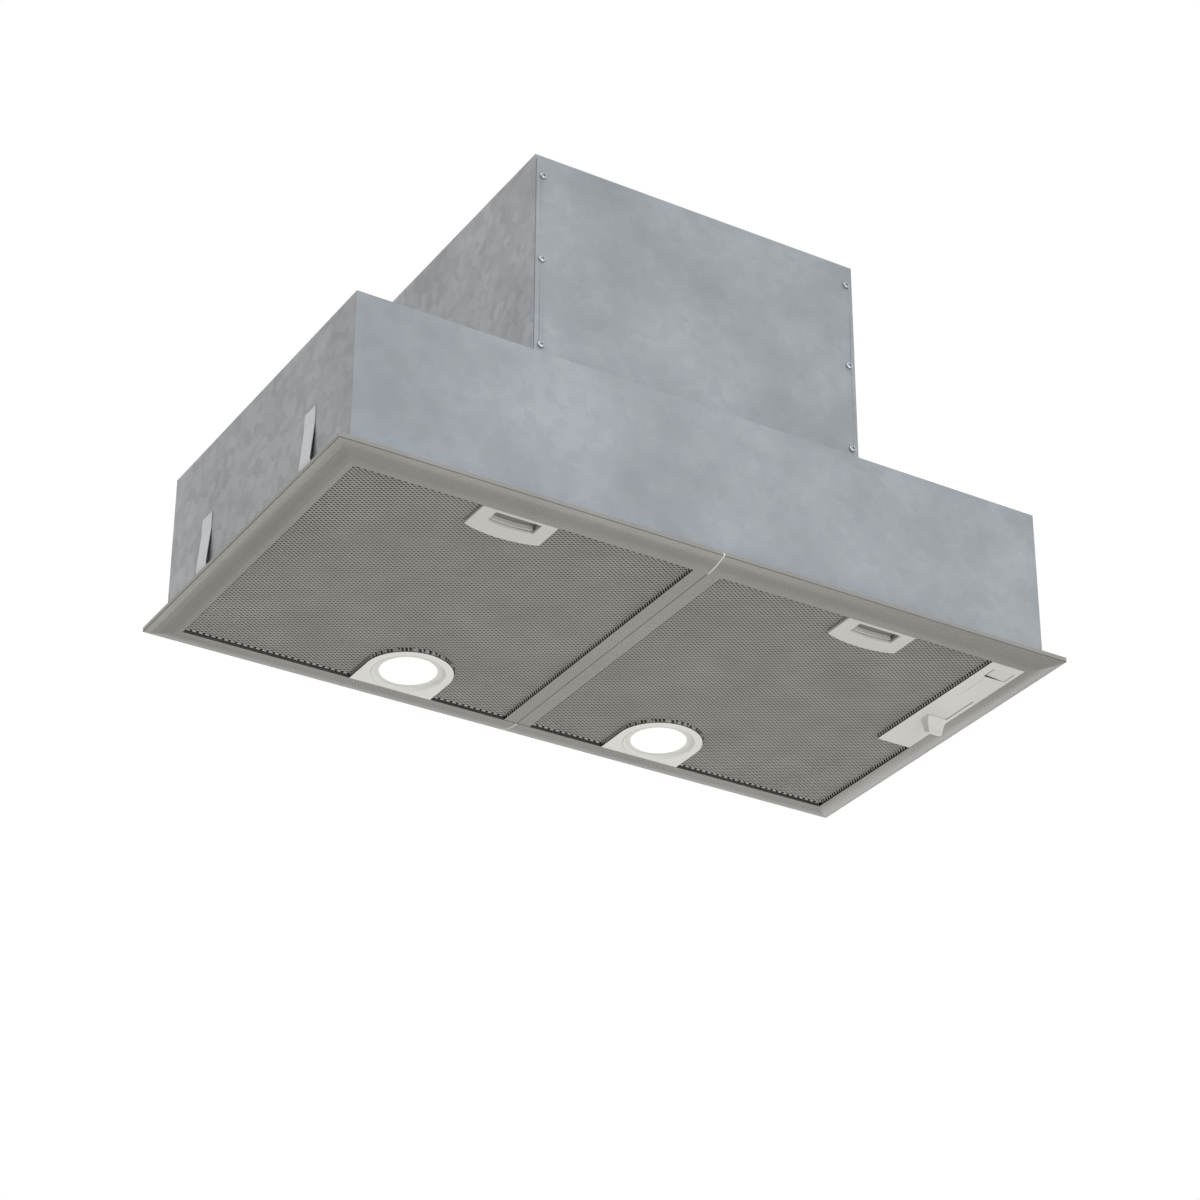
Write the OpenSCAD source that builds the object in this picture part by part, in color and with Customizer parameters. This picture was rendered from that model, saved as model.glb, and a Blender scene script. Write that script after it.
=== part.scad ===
// Range hood insert for a cabinet cut-out: a trim plate in two halves, two hinged grease filters,
// two lamps, a control panel, and above them the sheet-steel body with its blower and duct collar.
// Millimetres. The origin is the middle of the plane where the plate meets the cabinet's underside,
// +X to the right, +Y to the back, +Z up into the cabinet.

/* [Plate] */
// Width of the visible plate
plate_w = 730; // [700:1:760]
// Depth of the visible plate from front to back
plate_d = 380; // [376:1:400]
// Height of the plate's upright outer edge
edge_h = 4.5; // [4:0.1:6]
// Drop of the curved rim below its upright edge
rim_drop = 5.2; // [4.8:0.1:6.5]
// Width of the curved rim in plan
rim_w = 26.5; // [25:0.5:28]
// Step in from the upright edge to the foot of the curve
edge_step = 0.6; // [0.3:0.1:1]
// Wall of the trim halves and the centre strips
trim_wall = 1.8; // [1.4:0.1:2.2]
// Height of the upturned lip round the filter openings
lip_h = 6.5; // [6:0.1:7]
// Width of the centre bar, both strips together
bar_w = 27.5; // [26:0.5:32]
// How far the centre strips sit above the underside of the rim
bar_recess = 0.5; // [0.2:0.1:1]
// Width of the joint between the two trim halves
seam_w = 1.6; // [1.2:0.1:2.4]
// How far the plate laps over the cut-out's edge at each end
cover_w = 15; // [13:0.5:17]
// How far the plate laps over the cut-out's edge at front and back
cover_d = 12.5; // [11.5:0.5:14]

/* [Body] */
// Height from the underside of the rim to the top of the duct collar
overall_h = 418; // [400:1:440]
// Height of the wide lower box above the cabinet's underside
canopy_h = 150; // [140:1:160]
// Thickness of the sheet steel
steel = 1; // [0.8:0.1:1.2]
// Width of the narrow upper box
tower_w = 340; // [310:1:380]
// Depth of the narrow upper box
tower_d = 310; // [308:1:330]
// Clearance between the body and the cut-out on each side
cut_gap = 1; // [0.5:0.1:2]
// Width of the pan-shaped channel under the centre of the body
beam_w = 25; // [22:0.5:26]
// Height of that channel
beam_h = 10; // [8:0.5:12]

/* [Filters] */
// Clearance round a filter at its sides and front
filter_gap = 1.5; // [1.2:0.1:2]
// Clearance behind a filter
filter_back_gap = 2.5; // [2:0.1:3]
// How far the filter mesh sits above the underside of the rim
mesh_recess = 3; // [2.6:0.1:3.4]
// Thickness of the outer filter mesh
mesh_t = 1; // [0.8:0.1:1.2]
// Thickness of a whole filter
filter_t = 9; // [8.6:0.1:11]
// Wall of the filter's channel frame
filter_wall = 1.2; // [0.8:0.1:1.5]
// Width of the frame's top flange
filter_flange_w = 8; // [7:0.5:10]
// Number of inner grease layers
layer_n = 3; // [2:1:4]
// Thickness of one inner layer
layer_t = 0.4; // [0.3:0.1:0.5]
// Diameter of the hinge pins at the back of a filter
pin_d = 2.5; // [2.2:0.1:2.8]
// Width of the hook that carries a hinge pin
hook_w = 8; // [6:0.5:10]
// Distance of a hook from the side edge of its filter
hook_inset = 22; // [18:1:28]

/* [Handles] */
// Width of a handle plate
handle_w = 71.5; // [68:0.5:78]
// Depth of a handle plate at its corners
handle_d = 33.5; // [33:0.5:37]
// Bow of the handle plate's back edge
handle_bow = 6; // [4:0.5:8]
// How far a handle sits outward from the middle of its opening
handle_off = 6.4; // [0:0.2:12]
// Width of the finger recess
finger_w = 43.6; // [40:0.2:46]
// Depth of the finger recess at its corners
finger_d = 15.7; // [14:0.1:16]
// Bow of the finger recess's back edge
finger_bow = 2.3; // [1.5:0.1:3]
// Width of the latch nose
nose_w = 20; // [16:1:24]
// How far the latch nose reaches over the front lip
nose_reach = 4.5; // [3.5:0.1:6]
// Travel of the latch
latch_travel = 5; // [5:0.1:5.5]
// Outer radius of the latch spring
spring_r = 2.2; // [1.8:0.1:2.4]

/* [Lamps] */
// How far a lamp sits inward from the middle of its opening
lamp_off = 43.5; // [36:0.5:50]
// Radius of the rounded front of a lamp housing
lamp_r = 41.4; // [40:0.1:44]
// Distance of the lamp's middle from the back lip
lamp_back = 35.2; // [34:0.1:40]
// Outer radius of the lamp's bezel ring
bezel_r = 33.5; // [32:0.1:35]
// Radius of the glowing disc
lens_r = 26.4; // [24:0.1:27]
// Depth of the disc behind the underside of the rim
lens_depth = 2.5; // [2:0.1:3]
// Height of a lamp housing's top above the cabinet's underside
lamp_top = 16; // [14:0.5:20]
// Wall of the plastic mouldings
plastic = 1.6; // [1.2:0.1:2]

/* [Controls] */
// Width of the control panel
panel_w = 36.4; // [35:0.1:38]
// Length of the control panel
panel_l = 177; // [172:1:190]
// Thickness of the control panel's face
panel_t = 2.2; // [1.8:0.1:2.6]
// Width of the light rocker
rocker_w = 21.9; // [20:0.1:23]
// Length of the light rocker
rocker_l = 14.5; // [12:0.1:16]
// Tilt of the light rocker to either side, in degrees
rocker_tilt = 4; // [3:0.5:6]
// Distance of the rocker from the panel's front end
rocker_y = 10.8; // [9:0.1:14]
// Distance of the rocker and the knob from the panel's right edge
control_x = 4.2; // [3.8:0.1:5]
// Width of the fan slider's knob at its foot
knob_w = 20.5; // [18:0.5:21]
// Slope of the knob's left side, as a width
knob_in_left = 4; // [2:0.5:5]
// Slope of the knob's right side, as a width
knob_in_right = 2.4; // [1:0.2:4]
// Height that the knob stands down from the panel at its front
knob_h = 14.8; // [12:0.2:18]
// How much less it stands down at its back
knob_slant = 2.2; // [0:0.2:3]
// Depth of the knob at its foot
knob_foot = 11.5; // [10.5:0.5:13]
// Depth of the knob at its tip
knob_tip = 6.3; // [4:0.1:7]
// Radius of the knob's hollow front
knob_curve = 22; // [16:1:40]
// Travel of the fan slider
slider_travel = 42; // [36:1:44]
// Width of the slider's slit
slit_w = 1.4; // [1.2:0.1:1.8]
// Distance of the slit's far end from the panel's front end
slit_from = 124.2; // [118:0.2:132]
// Length of the engraved line beside the slider
mark_l = 38; // [30:1:42]
// Distance of the engraved line from the panel's front end
mark_from = 29.7; // [28:0.1:34]

/* [Blower] */
// Outer diameter of the duct collar
collar_d = 149; // [147:0.5:150]
// Height of the duct collar above the body
collar_h = 35; // [32:1:45]
// Height of the flaps' pin above the body
flap_lift = 17; // [15:0.5:20]
// Depth of the impeller's axis below the body's roof
axis_drop = 123; // [120:1:126]
// Outer radius of the impeller
impeller_r = 62; // [58:0.5:63]
// Width of the impeller
impeller_w = 108; // [100:1:112]
// Number of impeller blades on each side
blade_n = 30; // [18:1:40]
// Radius of the scroll casing at its tongue
scroll_r0 = 68; // [67:0.5:69]
// Radius of the scroll casing at its outlet
scroll_r1 = 104; // [100:0.5:105]
// Width of the scroll casing
scroll_w = 124; // [120:1:126]
// Wall of the scroll casing
scroll_wall = 2; // [1.6:0.1:2.4]
// Radius of the motor's can
motor_r = 38; // [34:0.5:40]
// Length of the motor's can
motor_l = 54; // [50:1:60]
// Diameter of the motor shaft
shaft_d = 8; // [6:0.5:9]

/* [Hidden] */

// Smoothness of large and of small round faces
fine = 144;
small = 40;
// Overrun of every cut
over = 1;
// Gap where one still piece seats on another
seat = 0.3;
// Radial clearance of a pin or shaft that turns
run_gap = 0.05;
// Gap round a still piece that drops into a window
drop_gap = 0.2;

// Plate planes and openings
rim_z = -(edge_h + rim_drop);
rim_land = 0.5;
curve_w = rim_w - rim_land;
rim_r = (pow(curve_w - edge_step, 2) + pow(rim_drop, 2)) / (2 * rim_drop);
lip_z = rim_z + lip_h;
half_w = plate_w / 2;
half_d = plate_d / 2;
open_x0 = bar_w / 2;
open_x1 = half_w - rim_w;
open_xm = (open_x0 + open_x1) / 2;
open_y = half_d - rim_w;
strip_gap = 0.5;
rib_t = 1.5;
rib_step = 86;
pad_w = 9;
pad_d = 7;

// Body planes
body_x = half_w - cover_w - cut_gap;
body_y = half_d - cover_d - cut_gap;
wall_x = body_x - steel;
wall_y = body_y - steel;
flange_x = half_w - trim_wall - seat;
flange_y = half_d - trim_wall - seat;
tower_x = tower_w / 2;
tower_y = tower_d / 2;
tower_top = overall_h + rim_z - collar_h;
tower_flange = 12;
tower_return = 15;

// Screw holes where the body is fixed to the cabinet's underside
fix_r = 2.2;
fix_inset = 5.5;
fix_x = body_x + cut_gap + fix_inset;
fix_y = 120;

// Filter planes
fx0 = open_x0 + filter_gap;
fx1 = open_x1 - filter_gap;
fy0 = -open_y + filter_gap;
fy1 = open_y - filter_back_gap;
mesh_z = rim_z + mesh_recess;
mesh_top = mesh_z + mesh_t;
filter_top = mesh_z + filter_t;
hook_wall = 1.25;
hook_r = pin_d / 2 + hook_wall;
hook_room = 0.4;
hinge_inset = 4.5;
hinge_y = fy1 - hinge_inset;
hinge_z = mesh_top + hook_r + hook_room;
ear_t = 1.5;
hook_x = [fx0 + hook_inset, fx1 - hook_inset];
pocket_y = hinge_y - hook_r - 3 * hook_room;
brace_w = 9;

// Handle and latch planes, with the handle's own front edge at zero
handle_x = open_xm + handle_off;
window_y = 3.8;
bezel_top = mesh_z - drop_gap;
box_wall = 1.2;
box_side = 6;
box_back = 2;
box_x = finger_w / 2 + box_side;
box_y0 = filter_gap + filter_wall + drop_gap;
box_y1 = handle_d - box_back;
latch_z = lip_z + seat;
latch_t = 3;
latch_side = 2.2;
latch_x = finger_w / 2 + latch_side;
latch_y0 = window_y + seat;
pull_t = 1.6;
ledge_w = 3.6;
ledge_t = 1.2;
bow_r = bow_radius(handle_w, handle_bow);
finger_r = bow_radius(finger_w, finger_bow);
finger_y1 = window_y + finger_d;
spring_wall = 0.5;
spring_z = latch_z + latch_t / 2;

// Lamp planes
lamp_x = open_xm - lamp_off;
lamp_y = open_y - lamp_back;
lamp_floor = 2.6;
bezel_flange = 1.5;
bezel_flange_t = 1;
bezel_slope = 2.1;
bezel_rim = 0.5;
lens_t = 2;
lens_flange = 2.2;
module_t = 2;
module_lift = 10;
module_z = rim_z + lens_depth + module_lift;
module_edge = 2;
fin_n = 6;
fin_t = 1.5;
fin_h = 7;
lug_w = 28;
lug_h = 10;

// Control panel planes
panel_x1 = open_x1 - seat;
panel_x0 = panel_x1 - panel_w + seat;
panel_y0 = -open_y + seat;
panel_y1 = panel_y0 + panel_l;
panel_top = rim_z + panel_t;
skirt_t = 1.5;
rocker_gap = 0.4;
rocker_lead = 2;
rocker_x = panel_x1 - control_x - rocker_w / 2;
rocker_ym = panel_y0 + rocker_y + rocker_l / 2;
rocker_sink = rocker_w / 2 * sin(rocker_tilt);
rocker_pivot = 3;
rocker_zp = rim_z + rocker_pivot;
rocker_t = 3.2;
rocker_back_share = 0.4;
trunnion_r = 1.2;
trunnion_l = 1.4;
frame_t = 2;
frame_h = 7;
switch_h = 14;
knob_x1 = panel_x1 - control_x;
knob_x0 = knob_x1 - knob_w;
blade_t = 0.8;
blade_l = 10;
slit_end = 0.5;
slit_x = knob_x1 - blade_t / 2;
slit_y1 = panel_y0 + slit_from;
slit_l = blade_l + slider_travel + 2 * slit_end;
slit_y0 = slit_y1 - slit_l;
blade_y1 = slit_y1 - slit_end;
blade_y0 = blade_y1 - blade_l;
knob_pad = 0.8;
keeper_w = 5;
keeper_t = 1.2;
keeper_gap = 0.25;
slider_z = panel_top + keeper_gap + keeper_t + keeper_gap;
slider_box_w = 14;
slider_box_h = 12;
slider_end = 6;
mark_w = 0.5;
mark_depth = 0.3;
mark_in = 1.4;
mark_y0 = panel_y0 + mark_from;
mark_x = knob_x0 + mark_in;
bracket_t = 2;
bracket_h = 8;
bracket_gap = 12;
bracket_y = [slit_y0 - 2.5 * bracket_gap, slit_y1 + bracket_gap];

// Blower planes
scroll_x = scroll_w / 2;
throat_share = 0.5;
axis_y = -(throat_share * scroll_r0 + scroll_r1) / 2;
axis_z = tower_top - axis_drop;
tongue_a = 60;
scroll_n = 60;
scroll_top = tower_top - steel - seat;
scroll_flange = 9;
inlet_r = 46;
inlet_lip = 6;
inlet_h = 5;
blade_in_share = 0.82;
blade_thick = 0.9;
blade_lean = 28;
disc_t = 2;
ring_t = 2;
hub_r = 9;
hub_l = 20;
shaft_r = shaft_d / 2;
motor_gap = 12;
motor_x0 = scroll_x + motor_gap;
motor_x1 = motor_x0 + motor_l;
motor_wall = 2;
bush_wall = 4;
bush_r = shaft_r + bush_wall;
bush_l = 9;
core_t = 17;
air_gap = 0.6;
stator_in = motor_r - core_t;
rotor_r = stator_in - air_gap;
core_l = 30;
shaft_end = 4;
brace_ring = 6;
brace_l = 8;
arm_w = 9;
arm_n = 3;
arm_out = 22;
arm_reach = motor_r + arm_out;
grommet_r = 5;
grommet_l = 6;

// Duct collar and flaps
collar_r = collar_d / 2;
collar_wall = 2;
bore_r = collar_r - collar_wall;
collar_flange = 184;
collar_flange_t = 2;
flap_z = tower_top + flap_lift;
flap_gap = 1;
flap_r = bore_r - flap_gap;
flap_t = 1.5;
flap_pin_r = 1.5;
knuckle_r = 3;
knuckle_l = 14;
knuckle_gap = 0.5;
flap_root = knuckle_r - flap_t / 4;
stop_w = 3;
stop_t = 1.5;

// Terminal box on the roof of the lower box
tbox_gap = 14;
tbox_x0 = tower_x + tower_flange + tbox_gap;
tbox_w = 110;
tbox_d = 90;
tbox_h = 42;
tbox_wall = 2;
tbox_floor = canopy_h + seat;
gland_r = 4.5;
gland_body = 9;
gland_nut = 11;
gland_l = 24;
gland_z = tbox_floor + tbox_h / 2;
block_w = 16;
block_d = 50;
block_h = 18;
block_n = 5;
pole_r = 2.5;
cap_r = 14;
cap_l = 52;
cap_gap = 6;
cap_x = tbox_x0 + tbox_wall + cap_r + cap_gap;
cap_stud = 4;

// Side clips
clip_w = 20;
clip_t = 0.6;
clip_bulge = 3.6;
clip_z = [8, 22, 58, 74];
clip_y = 100;

// Pan-head screws
screw_r = 1.5;
screw_hole = 1.7;
head_r = 3.5;
head_h = 2.2;
screw_l = 7;
collar_edge = 9;
collar_screw = collar_flange / 2 - collar_edge;
cover_h = tower_top - canopy_h;
cover_screw_share = [0.1, 0.5, 0.9];
flange_screw_share = 0.8;

// Colours
silver = "#b9b7b1";
mouldings = "#dad7d0";
mesh_grey = "#8f8d89";
zinc = "#a9adb0";
dark = "#3c3e40";

function bow_radius(w, bow) = (pow(w / 2, 2) + pow(bow, 2)) / (2 * bow);
function arc_centre(a, b, r) =
    let (d = b - a, l = norm(d)) (a + b) / 2 + [d[1], -d[0]] / l * sqrt(r * r - l * l / 4);
function spiral_r(a) = scroll_r0 + (scroll_r1 - scroll_r0) * (a - tongue_a) / (360 - tongue_a);
function spiral(inset) = [
    for (i = [0:scroll_n])
        let (a = tongue_a + (360 - tongue_a) * i / scroll_n)
        [(spiral_r(a) - inset) * cos(a), (spiral_r(a) - inset) * sin(a)]
];

// Draws for the right side as it stands and for the left side mirrored
module on_side(side) {
    if (side > 0) children(); else mirror([1, 0, 0]) children();
}

// Both ways round the front-to-back plane
module both_y() {
    children();
    mirror([0, 1, 0]) children();
}

module block(x0, x1, y0, y1, z0, z1) {
    translate([x0, y0, z0]) cube([x1 - x0, y1 - y0, z1 - z0]);
}

// A rectangle whose far edge bows out as an arc
module bowed(w, y0, y1, bow) {
    r = bow_radius(w, bow);
    translate([-w / 2, y0]) square([w, y1 - y0]);
    intersection() {
        translate([0, y1 + bow - r]) circle(r, $fn = fine);
        translate([-w / 2, y1 - over]) square([w, bow + 2 * over]);
    }
}

// Trim plate

// The rim's curve in section: rises to the outside over its width, then runs flat to the opening
module rim_curve(start, top, wall) {
    intersection() {
        translate([start, rim_z]) square([curve_w - start, top - rim_z]);
        translate([curve_w, rim_z + rim_r]) circle(rim_r - wall, $fn = 2 * fine);
    }
}

module rim_outline(top) {
    translate([0, -edge_h]) square([trim_wall, edge_h]);
    rim_curve(edge_step, top, 0);
    translate([curve_w, rim_z]) square([rim_land, top - rim_z]);
}

// Section across the whole plate, curved at both ends; a wall above zero draws the hollow inside it
module plate_section(width, wall) {
    top = wall > 0 ? over : 0;
    for (s = [0, 1]) translate([s * width, 0]) mirror([s, 0]) {
        if (wall == 0) translate([0, -edge_h]) square([trim_wall, edge_h]);
        rim_curve(wall > 0 ? wall : edge_step, top, wall);
    }
    translate([curve_w, rim_z + wall]) square([width - 2 * curve_w, top - rim_z - wall]);
}

// Stands a section up and runs it along +X, with the section's own x towards +Y
module along_x(length) {
    rotate([90, 0, 90]) linear_extrude(length) children();
}

// A rib inside the hollow rim, let half a wall into the rim and the lip
module rib_section() {
    half_wall = trim_wall / 2;
    intersection() {
        translate([half_wall, rim_z + half_wall])
            square([rim_w - trim_wall, -steel - seat - rim_z - half_wall]);
        union() {
            rim_curve(0, 0, half_wall);
            translate([curve_w, rim_z]) square([rim_w, -rim_z]);
        }
    }
}

// The plate as one piece on the right side, from the joint outwards
module plate_body(wall) {
    start = seam_w / 2 - wall;
    intersection() {
        translate([start, -half_d, 0]) along_x(half_w - start) plate_section(plate_d, wall);
        translate([half_w, -half_d, 0]) rotate([0, 0, 90]) along_x(plate_d) plate_section(plate_w, wall);
    }
}

module front_ribs() {
    for (x = [rib_step / 2 : rib_step : open_x1 - rib_step / 4])
        translate([x, -half_d, 0]) along_x(rib_t) rib_section();
}

module end_ribs() {
    for (y = [-rib_step : rib_step : rib_step])
        translate([half_w, y - rib_t / 2, 0]) rotate([0, 0, 90]) along_x(rib_t) rib_section();
}

// Solid pad behind the lip's outer corners
module corner_pad() {
    half_wall = trim_wall / 2;
    block(open_x1 + half_wall, open_x1 + pad_w, open_y + half_wall, open_y + pad_d, rim_z + half_wall,
          -steel - seat);
}

module trim_half(side) {
    lip_x = open_x1 + 2 * trim_wall;
    lip_y = open_y + 2 * trim_wall;
    color(silver) on_side(side) {
        difference() {
            plate_body(0);
            block(0, open_x1, -open_y, open_y, rim_z - over, over);
            block(0, lip_x, -lip_y, lip_y, lip_z, over);
            difference() {
                plate_body(trim_wall);
                block(-over, open_x1 + trim_wall, -open_y - trim_wall, open_y + trim_wall,
                      rim_z - over, 2 * over);
            }
        }
        both_y() {
            front_ribs();
            corner_pad();
        }
        end_ribs();
    }
}

// The rib fills the joint between the halves, and its web lies in both channels
module trim_joiner() {
    web_x = 12;
    web_y0 = 4;
    web_z = lip_z - drop_gap / 2;
    color(mouldings) {
        translate([-seam_w / 2 + drop_gap / 2, -half_d, 0]) along_x(seam_w - drop_gap) rib_full();
        block(-web_x, web_x, -half_d + web_y0, -open_y - trim_wall - seat, web_z, -steel - seat);
    }
}

module rib_full() {
    intersection() {
        rim_outline(-steel - seat);
        translate([0, rim_z]) square([rim_w - seat, -rim_z - steel - seat]);
    }
}

module centre_strip(side) {
    z0 = rim_z + bar_recess;
    y1 = open_y - seat;
    top = -steel - seat;
    color(silver) on_side(side) {
        block(strip_gap / 2, open_x0, -y1, y1, z0, z0 + trim_wall);
        block(strip_gap / 2, strip_gap / 2 + trim_wall, -y1, y1, z0, top);
        block(open_x0 - trim_wall, open_x0, -y1, y1, z0, top);
    }
}

// Filters

module lamp_outline(r, back) {
    intersection() {
        circle(r, $fn = fine);
        translate([-r, -r]) square([2 * r, r + over]);
    }
    translate([-r, 0]) square([2 * r, back]);
}

// Plan of a filter, drawn in by inset all round; the right one clears the control panel
module filter_plan(side, inset) {
    difference() {
        translate([fx0 + inset, fy0 + inset]) square([fx1 - fx0 - 2 * inset, fy1 - fy0 - 2 * inset]);
        translate([lamp_x, lamp_y]) lamp_outline(lamp_r + filter_gap + inset, open_y);
        if (side > 0)
            translate([panel_x0 - filter_gap - inset, -open_y - over])
                square([half_w, panel_y1 + filter_gap + inset + open_y + over]);
    }
}

module handle_hole(grow) {
    translate([handle_x - box_x - grow, -open_y])
        square([2 * (box_x + grow), box_y1 + grow]);
}

module hook_pockets(depth_y) {
    for (x = hook_x)
        translate([x - hook_w / 2 - hook_room, depth_y])
            square([hook_w + 2 * hook_room, open_y - depth_y]);
}

module filter_mesh(side) {
    color(mesh_grey) on_side(side) translate([0, 0, mesh_z]) linear_extrude(mesh_t) difference() {
        filter_plan(side, 0);
        handle_hole(drop_gap);
    }
}

module filter_frame(side) {
    height = filter_top - mesh_top;
    cheek = hook_w / 2 + hook_room;
    color(zinc) on_side(side) difference() {
        union() {
            translate([0, 0, mesh_top]) linear_extrude(height) difference() {
                filter_plan(side, 0);
                filter_plan(side, filter_wall);
            }
            translate([0, 0, filter_top - filter_wall]) linear_extrude(filter_wall) difference() {
                filter_plan(side, filter_wall / 2);
                filter_plan(side, filter_flange_w);
            }
            intersection() {
                translate([0, 0, mesh_top]) linear_extrude(height) filter_plan(side, filter_wall / 2);
                union() {
                    for (x = hook_x, s = [0, 1]) translate([x, 0, 0]) mirror([s, 0, 0])
                        block(cheek, cheek + ear_t, pocket_y - ear_t / 2, fy1, mesh_top, filter_top);
                    for (x = hook_x)
                        translate([x - cheek - ear_t, pocket_y - ear_t, mesh_top])
                            cube([2 * (cheek + ear_t), ear_t, height]);
                    for (x = [fx0 + (fx1 - fx0) / 3, fx1 - (fx1 - fx0) / 3])
                        block(x - brace_w / 2, x + brace_w / 2, fy0, fy1,
                              filter_top - filter_wall, filter_top);
                }
            }
        }
        translate([0, 0, mesh_top - over]) linear_extrude(height + 2 * over) hook_pockets(pocket_y);
        translate([0, 0, mesh_top - over]) linear_extrude(height + 2 * over) intersection() {
            handle_hole(drop_gap);
            translate([0, fy0 + filter_wall]) square([half_w, open_y]);
        }
        block(handle_x - nose_w / 2 - seat, handle_x + nose_w / 2 + seat,
              fy0 - over, fy0 + filter_wall + over, latch_z - seat, latch_z + latch_t + seat);
        for (x = hook_x)
            translate([x - cheek - ear_t - over, hinge_y, hinge_z]) rotate([0, 90, 0])
                cylinder(r = pin_d / 2, h = 2 * (cheek + ear_t + over), $fn = small);
    }
}

// Stacked sheets of grease mesh inside the channel frame
module filter_layers(side) {
    room = filter_top - filter_wall - mesh_top;
    pitch = (room - layer_t) / layer_n;
    color(mesh_grey) on_side(side)
        for (i = [1:layer_n])
            translate([0, 0, mesh_top + (i - 0.5) * pitch]) linear_extrude(layer_t) difference() {
                filter_plan(side, filter_wall + drop_gap);
                handle_hole(2 * drop_gap);
                hook_pockets(pocket_y - ear_t - drop_gap);
                hook_cheeks();
            }
}

module hook_cheeks() {
    grow = hook_w / 2 + hook_room + ear_t + drop_gap;
    for (x = hook_x)
        translate([x - grow, pocket_y - ear_t - drop_gap]) square([2 * grow, open_y - pocket_y + ear_t]);
}

module filter_pins(side) {
    reach = hook_w / 2 + hook_room + ear_t;
    color(zinc) on_side(side)
        for (x = hook_x)
            translate([x - reach, hinge_y, hinge_z]) rotate([0, 90, 0])
                cylinder(r = pin_d / 2, h = 2 * reach, $fn = small);
}

// Hooks on the body's back wall that carry the hinge pins from above
module filter_hooks() {
    arm_gap = 5;
    arm_z = filter_top + arm_gap;
    arm_t = 2.5;
    foot_h = 14;
    for (side = [-1, 1], x = hook_x)
        color(zinc) on_side(side) translate([x - hook_w / 2, 0, 0]) difference() {
            union() {
                translate([0, hinge_y, hinge_z]) rotate([0, 90, 0]) cylinder(r = hook_r, h = hook_w, $fn = small);
                block(0, hook_w, hinge_y - hook_r, hinge_y + hook_r, hinge_z, arm_z + arm_t);
                block(0, hook_w, hinge_y - hook_r, wall_y, arm_z, arm_z + arm_t);
                block(0, hook_w, wall_y - arm_t / 2, wall_y, arm_z, arm_z + foot_h);
            }
            translate([-over, hinge_y, hinge_z]) rotate([0, 90, 0])
                cylinder(r = pin_d / 2 + run_gap, h = hook_w + 2 * over, $fn = small);
        }
}

// Handles and latches, drawn with the handle's front edge at zero

module at_handle(side) {
    on_side(side) translate([handle_x, -open_y, 0]) children();
}

module finger_window(grow) {
    bowed(finger_w + 2 * grow, window_y - grow, finger_y1 + grow, finger_bow);
}

module handle(side) {
    roof = filter_top - box_wall;
    color(mouldings) at_handle(side) difference() {
        union() {
            translate([0, 0, rim_z]) linear_extrude(bezel_top - rim_z) difference() {
                bowed(handle_w, seat, handle_d, handle_bow);
                finger_window(0);
            }
            difference() {
                block(-box_x, box_x, box_y0, box_y1, bezel_top - over, filter_top);
                block(-box_x + box_wall, box_x - box_wall, window_y, box_y1 - box_wall,
                      bezel_top - 2 * over, roof);
            }
            for (s = [-1, 1]) mirror([s < 0 ? 1 : 0, 0, 0])
                block(box_x - box_wall - ledge_w, box_x - box_wall / 2, box_y0, box_y1 - box_wall / 2,
                      latch_z - seat - ledge_t, latch_z - seat);
        }
        block(-nose_w / 2 - seat, nose_w / 2 + seat, box_y0 - over, window_y + over,
              latch_z - seat, latch_z + latch_t + seat);
    }
}

module latch(side) {
    color(mouldings) at_handle(side) {
        translate([0, 0, latch_z]) linear_extrude(latch_t) {
            bowed(2 * latch_x, latch_y0, finger_y1 - seat, finger_bow);
            translate([-nose_w / 2, -nose_reach]) square([nose_w, nose_reach + latch_y0 + over]);
        }
        translate([0, 0, bezel_top + seat]) linear_extrude(latch_z + latch_t / 2 - bezel_top - seat)
            difference() {
                bowed(finger_w - 2 * seat, finger_y1 - pull_t, finger_y1 - seat, finger_bow);
                translate([0, -pull_t])
                    bowed(finger_w, window_y, finger_y1 - seat, finger_bow);
            }
    }
}

module latch_spring(side) {
    y0 = finger_y1 - seat + finger_bow;
    color(zinc) at_handle(side) translate([0, y0, spring_z]) rotate([-90, 0, 0]) difference() {
        cylinder(r = spring_r, h = box_y1 - box_wall - y0, $fn = small);
        translate([0, 0, -over])
            cylinder(r = spring_r - spring_wall, h = box_y1 - y0 + 2 * over, $fn = small);
    }
}

// Lamps, drawn with the lamp's middle at zero

module at_lamp(side) {
    on_side(side) translate([lamp_x, lamp_y, 0]) children();
}

module lamp_housing(side) {
    back = lamp_back - seat;
    color(mouldings) at_lamp(side) difference() {
        union() {
            translate([0, 0, rim_z]) linear_extrude(lamp_top - rim_z) lamp_outline(lamp_r, back);
            block(-lug_w / 2, lug_w / 2, back - over, wall_y - lamp_y - seat, lamp_top - lug_h, lamp_top);
        }
        translate([0, 0, rim_z + lamp_floor]) linear_extrude(module_z - rim_z - lamp_floor)
            lamp_outline(lamp_r - 2 * plastic, back - 2 * plastic);
        translate([0, 0, module_z]) linear_extrude(lamp_top - module_z + over)
            lamp_outline(lamp_r - plastic, back - plastic);
        translate([0, 0, rim_z - over])
            cylinder(r = bezel_r + drop_gap, h = lamp_floor + 2 * over, $fn = fine);
    }
}

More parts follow.
